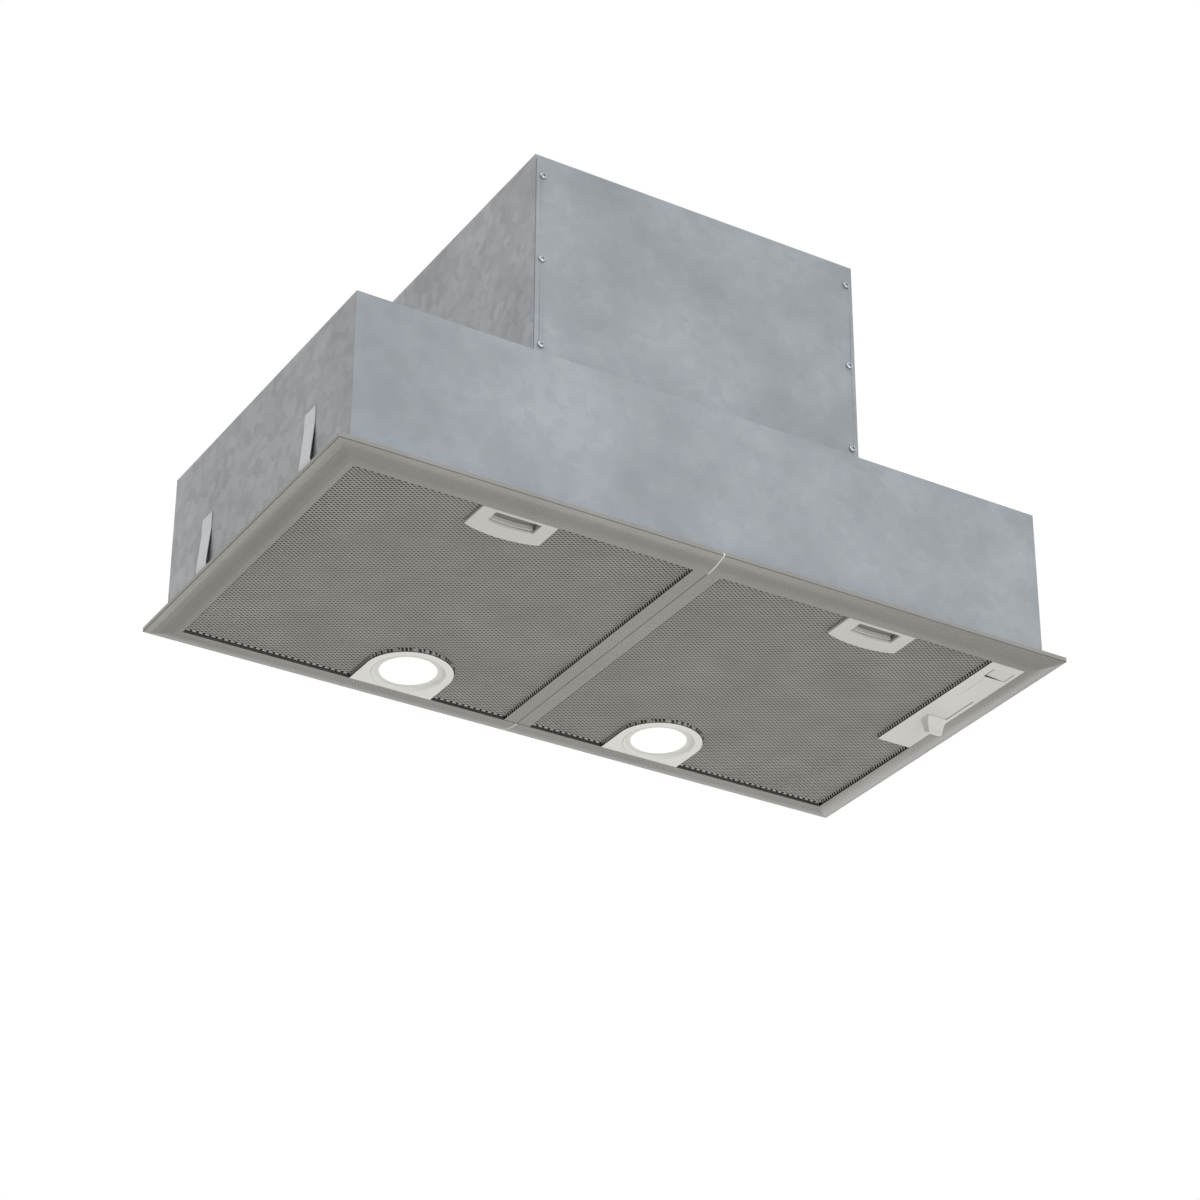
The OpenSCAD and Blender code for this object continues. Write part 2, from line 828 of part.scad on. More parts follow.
module lamp_bezel(side) {
    depth = rim_z + lens_depth;
    flange_z = rim_z + lamp_floor + seat / 2;
    inner = lens_r + drop_gap;
    clip_y = lamp_back - seat - 2 * plastic - drop_gap;
    color(mouldings) at_lamp(side) {
        rotate_extrude($fn = fine) polygon([
            [bezel_r, rim_z],
            [bezel_r, flange_z + bezel_flange_t / 2],
            [inner, flange_z + bezel_flange_t / 2],
            [inner, depth],
            [bezel_r - bezel_rim - bezel_slope, depth],
            [bezel_r - bezel_rim, rim_z]
        ]);
        translate([0, 0, flange_z]) linear_extrude(bezel_flange_t) difference() {
            circle(bezel_r + bezel_flange, $fn = fine);
            circle(inner, $fn = fine);
            translate([-lamp_r, clip_y]) square([2 * lamp_r, lamp_r]);
        }
    }
}

module lamp_lens(side) {
    z0 = rim_z + lens_depth - drop_gap;
    top = rim_z + lamp_floor + bezel_flange_t + seat;
    color("white") at_lamp(side) {
        translate([0, 0, z0]) cylinder(r = lens_r, h = top - z0 + over, $fn = fine);
        translate([0, 0, top]) cylinder(r = lens_r + lens_flange, h = lens_t, $fn = fine);
    }
}

// Board with its ribbed cooling plate, resting on the ledge inside the housing
module lamp_module(side) {
    back = lamp_back - seat - plastic - drop_gap;
    post_r = lens_r - module_edge;
    post_z = rim_z + lamp_floor + bezel_flange_t + 2 * seat + lens_t;
    span = 2 * (lamp_r - plastic - drop_gap) - 4 * fin_t;
    color(zinc) at_lamp(side) {
        translate([0, 0, module_z]) linear_extrude(module_t) lamp_outline(lamp_r - plastic - drop_gap, back);
        translate([0, 0, post_z]) cylinder(r = post_r, h = module_z - post_z + over / 2, $fn = fine);
        intersection() {
            for (i = [0 : fin_n - 1])
                translate([-span / 2 + i * span / (fin_n - 1) - fin_t / 2, -lamp_r, module_z + module_t / 2])
                    cube([fin_t, 2 * lamp_r, fin_h]);
            translate([0, 0, module_z]) linear_extrude(fin_h + module_t)
                lamp_outline(lamp_r - plastic - drop_gap - fin_t, back - fin_t);
        }
    }
}

// Controls

module control_panel() {
    color(mouldings) difference() {
        union() {
            block(panel_x0, panel_x1, panel_y0, panel_y1, rim_z, panel_top);
            block(panel_x0, panel_x0 + skirt_t, panel_y0, panel_y1, rim_z, lip_z);
            block(panel_x0, panel_x1, panel_y1 - skirt_t, panel_y1, rim_z, lip_z);
            block(panel_x0, panel_x1, panel_y0, panel_y0 + skirt_t, rim_z, lip_z);
            both_rocker_ends() block(-rocker_w / 2 - rocker_gap - frame_t, rocker_w / 2 + rocker_gap,
                                     rocker_l / 2 + rocker_gap, rocker_l / 2 + rocker_gap + frame_t,
                                     rim_z, rim_z + frame_h);
            for (y = bracket_y) {
                block(panel_x0 + skirt_t / 2, panel_x1, y, y + bracket_t, rim_z, latch_z + bracket_h);
                block(panel_x1 - over, wall_x - seat, y, y + bracket_t, latch_z, latch_z + bracket_h);
                block(wall_x - seat - bracket_t, wall_x - seat, y, y + bracket_h, latch_z, latch_z + bracket_h);
            }
        }
        translate([rocker_x, rocker_ym, 0])
            block(-rocker_w / 2 - rocker_gap, rocker_w / 2 + rocker_gap,
                  -rocker_l / 2 - rocker_gap, rocker_l / 2 + rocker_gap, rim_z - over, lip_z + over);
        block(slit_x - slit_w / 2, slit_x + slit_w / 2, slit_y0, slit_y1, rim_z - over, panel_top + over);
        block(mark_x - mark_w / 2, mark_x + mark_w / 2, mark_y0, mark_y0 + mark_l,
              rim_z - over, rim_z + mark_depth);
        translate([rocker_x, rocker_ym, rocker_zp]) rotate([90, 0, 0])
            cylinder(r = trunnion_r + run_gap, h = rocker_l + 4 * frame_t, center = true, $fn = small);
    }
}

module both_rocker_ends() {
    translate([rocker_x, rocker_ym, 0]) both_y() children();
}

// Rocker, shown tipped so that its left side is pressed in
module light_rocker() {
    face = -rocker_pivot + rocker_sink;
    neck = rocker_back_share * rocker_w / 2;
    left = -rocker_w / 2 + rocker_lead;
    color(mouldings) translate([rocker_x, rocker_ym, rocker_zp]) rotate([0, rocker_tilt, 0]) {
        rotate([90, 0, 0]) linear_extrude(rocker_l, center = true) polygon([
            [left, face],
            [rocker_w / 2, face],
            [rocker_w / 2, face + rocker_t / 2],
            [neck, face + rocker_t + trunnion_r],
            [-neck, face + rocker_t + trunnion_r],
            [left, face + rocker_t / 2]
        ]);
        rotate([90, 0, 0])
            cylinder(r = trunnion_r, h = rocker_l + 2 * (rocker_gap + trunnion_l), center = true, $fn = small);
    }
}

module rocker_switch() {
    z0 = rim_z + frame_h + seat;
    half = rocker_l / 2 + rocker_gap + frame_t;
    tab_w = 6;
    tab_h = 4;
    color(dark) translate([rocker_x, rocker_ym, 0]) {
        block(-rocker_w / 2, rocker_w / 2, -half, half, z0, z0 + switch_h);
        for (i = [-1, 1])
            block(i * rocker_w / 4 - tab_w / 2, i * rocker_w / 4 + tab_w / 2, -blade_t / 2, blade_t / 2,
                  z0 + switch_h - over, z0 + switch_h + tab_h);
    }
}

module knob_side() {
    lead = knob_foot - knob_tip;
    difference() {
        polygon([[0, 0], [knob_foot, 0], [knob_foot, knob_slant - knob_h], [lead, -knob_h], [0, -knob_pad]]);
        translate(arc_centre([0, -knob_pad], [lead, -knob_h], knob_curve)) circle(knob_curve, $fn = fine);
    }
}

module knob_front() {
    polygon([[0, 0], [knob_w, 0], [knob_w - knob_in_right, -knob_h], [knob_in_left, -knob_h]]);
}

module fan_slider() {
    face = rim_z - seat / 2;
    color(mouldings) {
        translate([knob_x0, blade_y1 - knob_foot, face]) intersection() {
            rotate([90, 0, 90]) linear_extrude(knob_w) knob_side();
            translate([0, knob_foot + over, 0]) rotate([90, 0, 0])
                linear_extrude(knob_foot + 2 * over) knob_front();
        }
        block(knob_x1 - blade_t, knob_x1, blade_y0, blade_y1, face - knob_pad, slider_z + keeper_t);
        block(slit_x - keeper_w / 2, slit_x + keeper_w / 2, blade_y0, blade_y1,
              panel_top + keeper_gap, panel_top + keeper_gap + keeper_t);
    }
}

module slider_switch() {
    x0 = panel_x1 - slider_box_w;
    x1 = panel_x1;
    y0 = slit_y0 - slider_end;
    y1 = slit_y1 + slider_end;
    z0 = lip_z + seat;
    color(dark) difference() {
        union() {
            block(x0, x1, y0, y1, z0, z0 + slider_box_h);
            for (y = [y0, y1 - slider_end / 2])
                block(x0, slit_x + keeper_w / 2, y, y + slider_end / 2, panel_top + seat / 2, z0 + over);
        }
        block(slit_x - slit_w, slit_x + slit_w, slit_y0, slit_y1, z0 - over, z0 + slider_box_h / 2);
    }
}

// Body

module canopy() {
    hole_x = tower_x - tower_flange;
    hole_y = tower_y - tower_flange;
    color(zinc) difference() {
        union() {
            block(-flange_x, flange_x, -flange_y, flange_y, -steel, 0);
            block(-body_x, body_x, -body_y, body_y, -steel, canopy_h);
        }
        block(-wall_x, wall_x, -wall_y, wall_y, -steel - over, canopy_h - steel);
        block(-hole_x, hole_x, -hole_y, hole_y, canopy_h - steel - over, canopy_h + over);
        for (x = [-fix_x, fix_x], y = [-fix_y, fix_y])
            translate([x, y, -steel - over]) cylinder(r = fix_r, h = steel + 2 * over, $fn = small);
        tower_flange_screws() screw_cut();
    }
}

module centre_beam() {
    half = beam_w / 2;
    top = beam_h - steel;
    color(zinc) {
        block(-half, half, -wall_y, wall_y, top - steel, top);
        for (s = [0, 1]) mirror([s, 0, 0]) block(half - steel, half, -wall_y, wall_y, -steel, top);
    }
}

// Leaf springs that grip the edge of the cut-out
module side_clips() {
    z = clip_z;
    for (side = [-1, 1], y = [-clip_y, clip_y])
        color(zinc) on_side(side) translate([body_x, y + clip_w / 2, 0]) rotate([90, 0, 0])
            linear_extrude(clip_w) polygon([
                [0, z[3]], [clip_t, z[3]], [clip_t, z[2]], [clip_bulge, z[1]], [clip_t, z[0]],
                [0, z[0]], [clip_bulge - clip_t, z[1]], [0, z[2]]
            ]);
}

module tower_shell() {
    z0 = canopy_h;
    color(zinc) difference() {
        union() {
            block(-tower_x, tower_x, -tower_y, tower_y, z0, tower_top);
            block(-tower_x - tower_flange, tower_x + tower_flange, -tower_y, tower_y, z0, z0 + steel);
        }
        block(-tower_x + steel, tower_x - steel, -tower_y + steel, tower_y - steel, z0 - over, tower_top - steel);
        block(-tower_x + tower_return, tower_x - tower_return, -tower_y - over, -tower_y + 2 * steel,
              z0 + tower_return, tower_top - tower_return);
        cylinder(r = bore_r, h = 2 * tower_top, $fn = fine);
        collar_screws() screw_cut();
        cover_screws() screw_cut();
        tower_flange_screws() screw_cut();
    }
}

module tower_cover() {
    lap = 10;
    color(zinc) difference() {
        block(-tower_x + steel, tower_x - steel, -tower_y - steel, -tower_y,
              canopy_h + lap / 2, tower_top - lap / 2);
        cover_screws() screw_cut();
    }
}

// Blower

module scroll_plan(inset) {
    throat = throat_share * scroll_r0;
    top = scroll_top - axis_z;
    polygon(concat(
        [[throat + inset, top + (inset > 0 ? over : 0)]],
        spiral(inset),
        [[scroll_r1 - inset, top + (inset > 0 ? over : 0)]]
    ));
}

// Stands a plan drawn in the vertical plane of the scroll, and gives it a width along +X
module across(x0, x1) {
    translate([x0, axis_y, axis_z]) rotate([90, 0, 90]) linear_extrude(x1 - x0) children();
}

module scroll_half(side) {
    throat = throat_share * scroll_r0;
    color(dark) on_side(side) difference() {
        union() {
            across(0, scroll_x) scroll_plan(0);
            block(0, scroll_x + scroll_flange, axis_y + throat - scroll_flange,
                  axis_y + scroll_r1 + scroll_flange, scroll_top - scroll_wall, scroll_top);
        }
        across(-over, scroll_x - scroll_wall) scroll_plan(scroll_wall);
        across(0, scroll_x + over) circle(inlet_r, $fn = fine);
    }
}

module inlet_rings() {
    for (side = [-1, 1])
        color(dark) on_side(side) translate([scroll_x, axis_y, axis_z]) rotate([0, 90, 0])
            rotate_extrude($fn = fine) polygon([
                [inlet_r, 0], [inlet_r + inlet_lip, 0], [inlet_r + inlet_lip, inlet_h],
                [inlet_r + inlet_lip / 2, inlet_h], [inlet_r, inlet_h / 2]
            ]);
}

module impeller() {
    inner = blade_in_share * impeller_r;
    half = impeller_w / 2;
    color(mouldings) difference() {
        union() {
            across(-disc_t / 2, disc_t / 2) circle(impeller_r - ring_t / 2, $fn = fine);
            for (s = [-half, half - ring_t])
                across(s, s + ring_t) difference() {
                    circle(impeller_r, $fn = fine);
                    circle(inner + ring_t, $fn = fine);
                }
            for (i = [0 : blade_n - 1])
                across(-half + ring_t / 2, half - ring_t / 2) rotate(i * 360 / blade_n)
                    translate([(inner + impeller_r) / 2, 0]) rotate(blade_lean)
                        square([impeller_r - inner - ring_t, blade_thick], center = true);
            across(-hub_l / 2, hub_l / 2) circle(hub_r, $fn = small);
        }
        across(-half, half) circle(shaft_r, $fn = small);
    }
}

module motor_housing() {
    color(zinc) difference() {
        across(motor_x0, motor_x1) circle(motor_r, $fn = fine);
        across(motor_x0 + motor_wall, motor_x1 - motor_wall) circle(motor_r - motor_wall, $fn = fine);
        across(motor_x0 - over, motor_x1 + over) circle(bush_r, $fn = small);
    }
}

module motor_stator() {
    mid = (motor_x0 + motor_x1) / 2;
    color(dark) across(mid - core_l / 2, mid + core_l / 2) difference() {
        circle(motor_r - motor_wall, $fn = fine);
        circle(stator_in, $fn = fine);
    }
}

module motor_rotor() {
    mid = (motor_x0 + motor_x1) / 2;
    color(zinc) across(mid - core_l / 2, mid + core_l / 2) difference() {
        circle(rotor_r, $fn = fine);
        circle(shaft_r, $fn = small);
    }
}

module motor_shaft() {
    color(zinc) across(-hub_l / 2 - shaft_end, motor_x1 + shaft_end) circle(shaft_r, $fn = small);
}

module motor_bushes() {
    color("#a88a4a") for (x = [motor_x0, motor_x1 - bush_l])
        across(x, x + bush_l) difference() {
            circle(bush_r, $fn = small);
            circle(shaft_r + run_gap, $fn = small);
        }
}

module motor_bracket() {
    mid = (motor_x0 + motor_x1) / 2;
    post_x0 = scroll_x + inlet_h / 2 + grommet_l;
    color(zinc) {
        across(mid - brace_l / 2, mid + brace_l / 2) difference() {
            union() {
                circle(motor_r + brace_ring, $fn = fine);
                for (i = [0 : arm_n - 1]) rotate(i * 360 / arm_n)
                    translate([0, -arm_w / 2]) square([arm_reach + arm_w / 2, arm_w]);
            }
            circle(motor_r, $fn = fine);
        }
        for (i = [0 : arm_n - 1])
            across(post_x0, mid) rotate(i * 360 / arm_n) translate([arm_reach, 0]) circle(arm_w / 2, $fn = small);
    }
}

module motor_grommets() {
    post_x0 = scroll_x + inlet_h / 2 + grommet_l;
    color(dark) for (i = [0 : arm_n - 1])
        across(scroll_x, post_x0) rotate(i * 360 / arm_n) translate([arm_reach, 0]) circle(grommet_r, $fn = small);
}

// Duct collar and non-return flaps

module duct_collar() {
    half = collar_flange / 2;
    stop_z = flap_z - flap_t - drop_gap;
    color(mouldings) difference() {
        union() {
            block(-half, half, -half, half, tower_top, tower_top + collar_flange_t);
            translate([0, 0, tower_top]) cylinder(r = collar_r, h = collar_h, $fn = fine);
        }
        translate([0, 0, stop_z]) cylinder(r = bore_r, h = collar_h, $fn = fine);
        translate([0, 0, tower_top - over])
            cylinder(r = bore_r, h = stop_z - stop_t - tower_top + over, $fn = fine);
        translate([0, 0, tower_top]) cylinder(r = bore_r - stop_w, h = collar_h, $fn = fine);
        translate([0, 0, flap_z]) rotate([0, 90, 0])
            cylinder(r = flap_pin_r, h = 2 * collar_r + 2 * over, center = true, $fn = small);
        collar_screws() screw_cut();
    }
}

module flap_pin() {
    color(zinc) translate([0, 0, flap_z]) rotate([0, 90, 0])
        cylinder(r = flap_pin_r, h = 2 * collar_r, center = true, $fn = small);
}

// One half-round flap with its knuckles, drawn to the back of the pin
module flap(shift) {
    pitch = 2 * (knuckle_l + knuckle_gap);
    starts = [for (x = [-flap_r + knuckle_l : pitch : flap_r - 2 * knuckle_l - pitch / 2]) x + shift];
    color(dark) translate([0, 0, flap_z]) {
        intersection() {
            translate([0, 0, -flap_t]) cylinder(r = flap_r, h = flap_t, $fn = fine);
            block(-flap_r, flap_r, knuckle_r + knuckle_gap, flap_r, -flap_t, 0);
        }
        for (x = starts) difference() {
            union() {
                translate([x, 0, 0]) rotate([0, 90, 0]) cylinder(r = knuckle_r, h = knuckle_l, $fn = small);
                block(x, x + knuckle_l, 0, flap_root + 2 * knuckle_gap, -flap_t, 0);
            }
            translate([x - over, 0, 0]) rotate([0, 90, 0])
                cylinder(r = flap_pin_r + run_gap, h = knuckle_l + 2 * over, $fn = small);
        }
    }
}

// Terminal box

module terminal_box() {
    x1 = tbox_x0 + tbox_w;
    color(dark) difference() {
        block(tbox_x0, x1, -tbox_d / 2, tbox_d / 2, canopy_h, canopy_h + tbox_h);
        block(tbox_x0 + tbox_wall, x1 - tbox_wall, -tbox_d / 2 + tbox_wall, tbox_d / 2 - tbox_wall,
              canopy_h + tbox_wall, canopy_h + tbox_h + over);
        translate([x1 - tbox_wall - over, 0, gland_z]) rotate([0, 90, 0])
            cylinder(r = gland_body, h = tbox_wall + 2 * over, $fn = small);
    }
}

module terminal_box_lid() {
    x1 = tbox_x0 + tbox_w;
    z0 = canopy_h + tbox_h;
    tuck = 3;
    in = tbox_wall + drop_gap;
    color(dark) {
        block(tbox_x0, x1, -tbox_d / 2, tbox_d / 2, z0, z0 + tbox_wall);
        difference() {
            block(tbox_x0 + in, x1 - in, -tbox_d / 2 + in, tbox_d / 2 - in, z0 - tuck, z0 + tbox_wall / 2);
            block(tbox_x0 + in + tbox_wall, x1 - in - tbox_wall, -tbox_d / 2 + in + tbox_wall,
                  tbox_d / 2 - in - tbox_wall, z0 - tuck - over, z0);
        }
    }
}

module terminal_block() {
    x0 = tbox_x0 + tbox_w - tbox_wall - gland_nut - 2 * block_w;
    z0 = canopy_h + tbox_wall;
    color("white") difference() {
        block(x0, x0 + block_w, -block_d / 2, block_d / 2, z0, z0 + block_h);
        for (i = [0 : block_n - 1])
            translate([x0 + block_w / 2, -block_d / 2 + (i + 0.5) * block_d / block_n, z0 + block_h / 2])
                cylinder(r = pole_r, h = block_h, $fn = small);
    }
}

module capacitor() {
    color("#c9ccd0") translate([cap_x, -cap_l / 2, canopy_h + tbox_wall + cap_r]) rotate([-90, 0, 0]) {
        cylinder(r = cap_r, h = cap_l, $fn = fine);
        translate([0, 0, -cap_stud]) cylinder(r = cap_stud, h = cap_stud + over, $fn = small);
    }
}

module cable_gland() {
    x1 = tbox_x0 + tbox_w;
    nut_l = 6;
    flange_l = 5;
    color(dark) translate([x1, 0, gland_z]) rotate([0, 90, 0]) difference() {
        union() {
            translate([0, 0, -tbox_wall - nut_l]) cylinder(r = gland_nut, h = nut_l, $fn = 6);
            translate([0, 0, -tbox_wall - nut_l]) cylinder(r = gland_body - drop_gap, h = gland_l, $fn = small);
            cylinder(r = gland_nut, h = flange_l, $fn = 6);
        }
        translate([0, 0, -gland_l]) cylinder(r = gland_r, h = 2 * gland_l + over, $fn = small);
    }
}

// Screws. Each place is the seat of a head, with the shank along -Z of its own frame

module screw() {
    cylinder(r = head_r, h = head_h, $fn = small);
    translate([0, 0, -screw_l]) cylinder(r = screw_r, h = screw_l + head_h / 2, $fn = small);
}

module screw_cut() {
    translate([0, 0, -2 * screw_l]) cylinder(r = screw_hole, h = 3 * screw_l, $fn = small);
}

module collar_screws() {
    for (x = [-collar_screw, collar_screw], y = [-collar_screw, collar_screw])
        translate([x, y, tower_top + collar_flange_t]) children();
}

module cover_screws() {
    for (x = [-1, 1], z_share = cover_screw_share)
        translate([x * (tower_x - tower_return / 2), -tower_y - steel, canopy_h + z_share * cover_h]) rotate([90, 0, 0]) children();
}

module tower_flange_screws() {
    for (x = [-1, 1], y = [-1, 0, 1])
        translate([x * (tower_x + tower_flange / 2), y * flange_screw_share * tower_y, canopy_h + steel]) children();
}

module sheet_screws() {
    color(zinc) {
        collar_screws() screw();
        cover_screws() screw();
        tower_flange_screws() screw();
    }
}

trim_half(-1);  // trim_left
trim_half(1);  // trim_right
trim_joiner();  // trim_joiner_front
mirror([0, 1, 0]) trim_joiner();  // trim_joiner_back
centre_strip(-1);  // centre_strip_left
centre_strip(1);  // centre_strip_right
filter_mesh(-1);  // filter_mesh_left
filter_frame(-1);  // filter_frame_left
filter_layers(-1);  // filter_layers_left
filter_pins(-1);  // filter_pins_left
handle(-1);  // handle_left
latch(-1);  // latch_left
latch_spring(-1);  // latch_spring_left
filter_mesh(1);  // filter_mesh_right
filter_frame(1);  // filter_frame_right
filter_layers(1);  // filter_layers_right
filter_pins(1);  // filter_pins_right
handle(1);  // handle_right
latch(1);  // latch_right
latch_spring(1);  // latch_spring_right
filter_hooks();
lamp_housing(-1);  // lamp_housing_left
lamp_bezel(-1);  // lamp_bezel_left
lamp_lens(-1);  // lamp_lens_left
lamp_module(-1);  // lamp_module_left
lamp_housing(1);  // lamp_housing_right
lamp_bezel(1);  // lamp_bezel_right
lamp_lens(1);  // lamp_lens_right
lamp_module(1);  // lamp_module_right
control_panel();
light_rocker();
rocker_switch();
fan_slider();
slider_switch();
canopy();
centre_beam();
side_clips();
tower_shell();
tower_cover();
scroll_half(-1);  // scroll_left
scroll_half(1);  // scroll_right
inlet_rings();
impeller();
motor_housing();
motor_stator();
motor_rotor();
motor_shaft();
motor_bushes();
motor_bracket();
motor_grommets();
terminal_box();
terminal_box_lid();
terminal_block();
capacitor();
cable_gland();
duct_collar();
flap_pin();
mirror([0, 1, 0]) flap(knuckle_l + knuckle_gap);  // flap_front
flap(0);  // flap_back
sheet_screws();
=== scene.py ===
"""Looks of a built-in range hood insert, seen from below.

A silver plate with curved rims carries two hinged grease filters, two lamps and a slider panel.
The zinc-coated body above it holds the blower, the duct collar and the mains box.
Every length is in metres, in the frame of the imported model.
"""

import logging
import math
from dataclasses import dataclass, field
from enum import Enum
from typing import Callable, Mapping, Sequence

import bpy
import numpy as np
from mathutils import Matrix, Vector


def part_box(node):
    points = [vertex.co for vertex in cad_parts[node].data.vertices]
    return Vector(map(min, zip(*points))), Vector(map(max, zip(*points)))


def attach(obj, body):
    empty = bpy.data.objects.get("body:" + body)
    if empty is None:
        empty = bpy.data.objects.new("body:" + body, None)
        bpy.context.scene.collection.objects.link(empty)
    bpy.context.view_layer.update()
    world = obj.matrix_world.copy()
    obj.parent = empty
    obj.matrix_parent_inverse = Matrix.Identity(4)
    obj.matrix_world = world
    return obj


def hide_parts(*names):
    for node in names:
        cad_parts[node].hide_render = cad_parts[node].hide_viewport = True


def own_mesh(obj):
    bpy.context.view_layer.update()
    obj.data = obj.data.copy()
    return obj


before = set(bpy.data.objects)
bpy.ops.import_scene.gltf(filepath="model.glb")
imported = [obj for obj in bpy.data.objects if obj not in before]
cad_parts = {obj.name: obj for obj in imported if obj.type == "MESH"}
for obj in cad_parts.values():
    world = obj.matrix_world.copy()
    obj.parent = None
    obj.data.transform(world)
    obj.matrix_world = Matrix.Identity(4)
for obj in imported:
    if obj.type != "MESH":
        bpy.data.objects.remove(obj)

Node = bpy.types.Node
Socket = bpy.types.NodeSocket
Tree = bpy.types.NodeTree
Piece = bpy.types.Object
Face = bpy.types.MeshPolygon
Pair = tuple[float, float]
Colour = tuple[float, float, float]
Point = tuple[float, float, float]
Sockets = Mapping[str, Socket]
VertexTest = Callable[[Vector], bool]
FaceTest = Callable[[Face], bool]

LOG = logging.getLogger("hood")
MM = 0.001

# The middle of the right lamp's disc, on the underside.
LAMP_CENTRE: Pair = (132.625 * MM, 128.3 * MM)
# Faces that meet at less than this angle count as one flat face.
FLAT = math.radians(0.4)
# How near two edges have to be for a cut or a merge to take them as one.
CUT_SLACK = 0.001 * MM
MERGE_SLACK = 0.002 * MM
# Shader values: the full range, the range that noise mostly fills, and plain white.
UNIT: Pair = (0.0, 1.0)
SPREAD: Pair = (0.3, 0.7)
WHITE: Colour = (1.0, 1.0, 1.0)


class Side(Enum):
    """The two mirrored sides of the hood."""

    LEFT = "left"
    RIGHT = "right"

    @property
    def sign(self) -> int:
        """Minus one on the left, one on the right."""
        return 1 if self is Side.RIGHT else -1


class Axis(Enum):
    """The two level directions of the frame."""

    X = (1.0, 0.0, 0.0)
    Y = (0.0, 1.0, 0.0)

    @property
    def letter(self) -> str:
        """The name of this direction's part of a vector."""
        return self.name.lower()


class Effect(Enum):
    """The shader node groups that the finishes share."""

    GRAIN = "surface_grain"
    DRIFT = "colour_drift"
    STREAKS = "rolled_streaks"
    SPANGLE = "zinc_spangle"
    DUST = "settled_dust"
    FILM = "grease_film"


def linear(code: str) -> Colour:
    """Turns a six-digit screen colour into linear values.

    Args:
        code: The colour as six hexadecimal digits.

    Returns:
        Red, green and blue, each from 0 to 1.
    """
    knee, slope, lift, whole, power = 0.04045, 12.92, 0.055, 1.055, 2.4
    parts = [int(code[i : i + 2], 16) / 255 for i in (0, 2, 4)]
    red, green, blue = (p / slope if p <= knee else ((p + lift) / whole) ** power for p in parts)
    return (red, green, blue)


# Node trees


@dataclass
class Graph:
    """A node tree, with short ways to add a node and feed it."""

    tree: Tree

    @classmethod
    def fresh(cls, block: bpy.types.Material | bpy.types.World) -> "Graph":
        """Opens the emptied node tree of a material or a world.

        Args:
            block: The material or world.

        Returns:
            Its node tree, ready to be filled.
        """
        block.use_nodes = True
        block.node_tree.nodes.clear()
        return cls(block.node_tree)

    def feed(self, socket: Socket, value: object) -> None:
        """Links an input to an output socket, or gives it a value.

        Args:
            socket: The input.
            value: An output socket, a number or a tuple.
        """
        if isinstance(value, Socket):
            self.tree.links.new(value, socket)
        elif isinstance(value, tuple) and socket.type == "RGBA":
            socket.default_value = (*value, 1.0)
        else:
            socket.default_value = value

    def add(
        self, kind: str, feeds: Mapping[str | int, object] | None = None, **settings: object
    ) -> Node:
        """Adds a node.

        Args:
            kind: The node's type name.
            feeds: A value or an output socket for each input, by name or number.
            settings: The node's own options.

        Returns:
            The new node.
        """
        node = self.tree.nodes.new(kind)
        for name, value in settings.items():
            setattr(node, name, value)
        for key, value in (feeds or {}).items():
            self.feed(node.inputs[key], value)
        return node

    def span(self, value: Socket, ends: Pair, to: tuple[object, object] = UNIT) -> Socket:
        """Maps a value from two ends to two new ones, which may be numbers or sockets."""
        feeds = {"From Min": ends[0], "From Max": ends[1], "To Min": to[0], "To Max": to[1]}
        return self.add("ShaderNodeMapRange", {"Value": value, **feeds}).outputs["Result"]

    def maths(self, operation: str, first: object, second: object = 0.0) -> Socket:
        """Adds a maths node and gives its output."""
        return self.add("ShaderNodeMath", {0: first, 1: second}, operation=operation).outputs[0]

    def vector(self, operation: str, first: object, second: object) -> Socket:
        """Adds a vector maths node and gives its output."""
        feeds = {0: first, 1: second}
        return self.add("ShaderNodeVectorMath", feeds, operation=operation).outputs[0]

    def noise(
        self, where: Socket, scale: object, detail: float, rough: float = 0.5, out: str = "Fac"
    ) -> Socket:
        """Adds a noise texture.

        Args:
            where: The place that it is read at.
            scale: Its scale, as a number or a socket.
            detail: How many finer layers it has.
            rough: How strong those layers are.
            out: The output that is wanted.

        Returns:
            That output.
        """
        feeds = {"Vector": where, "Scale": scale, "Detail": detail, "Roughness": rough}
        return self.add("ShaderNodeTexNoise", feeds).outputs[out]

    def mix(self, share: object, first: object, second: object) -> Socket:
        """Mixes two colours by a share and gives the colour output.

        Args:
            share: How much of the second colour shows.
            first: The first colour.
            second: The second colour.

        Returns:
            The mixed colour.
        """
        node = self.add("ShaderNodeMix", data_type="RGBA")
        for name, value in (("Factor_Float", share), ("A_Color", first), ("B_Color", second)):
            self.feed(next(s for s in node.inputs if s.identifier == name), value)
        return next(s for s in node.outputs if s.identifier == "Result_Color")


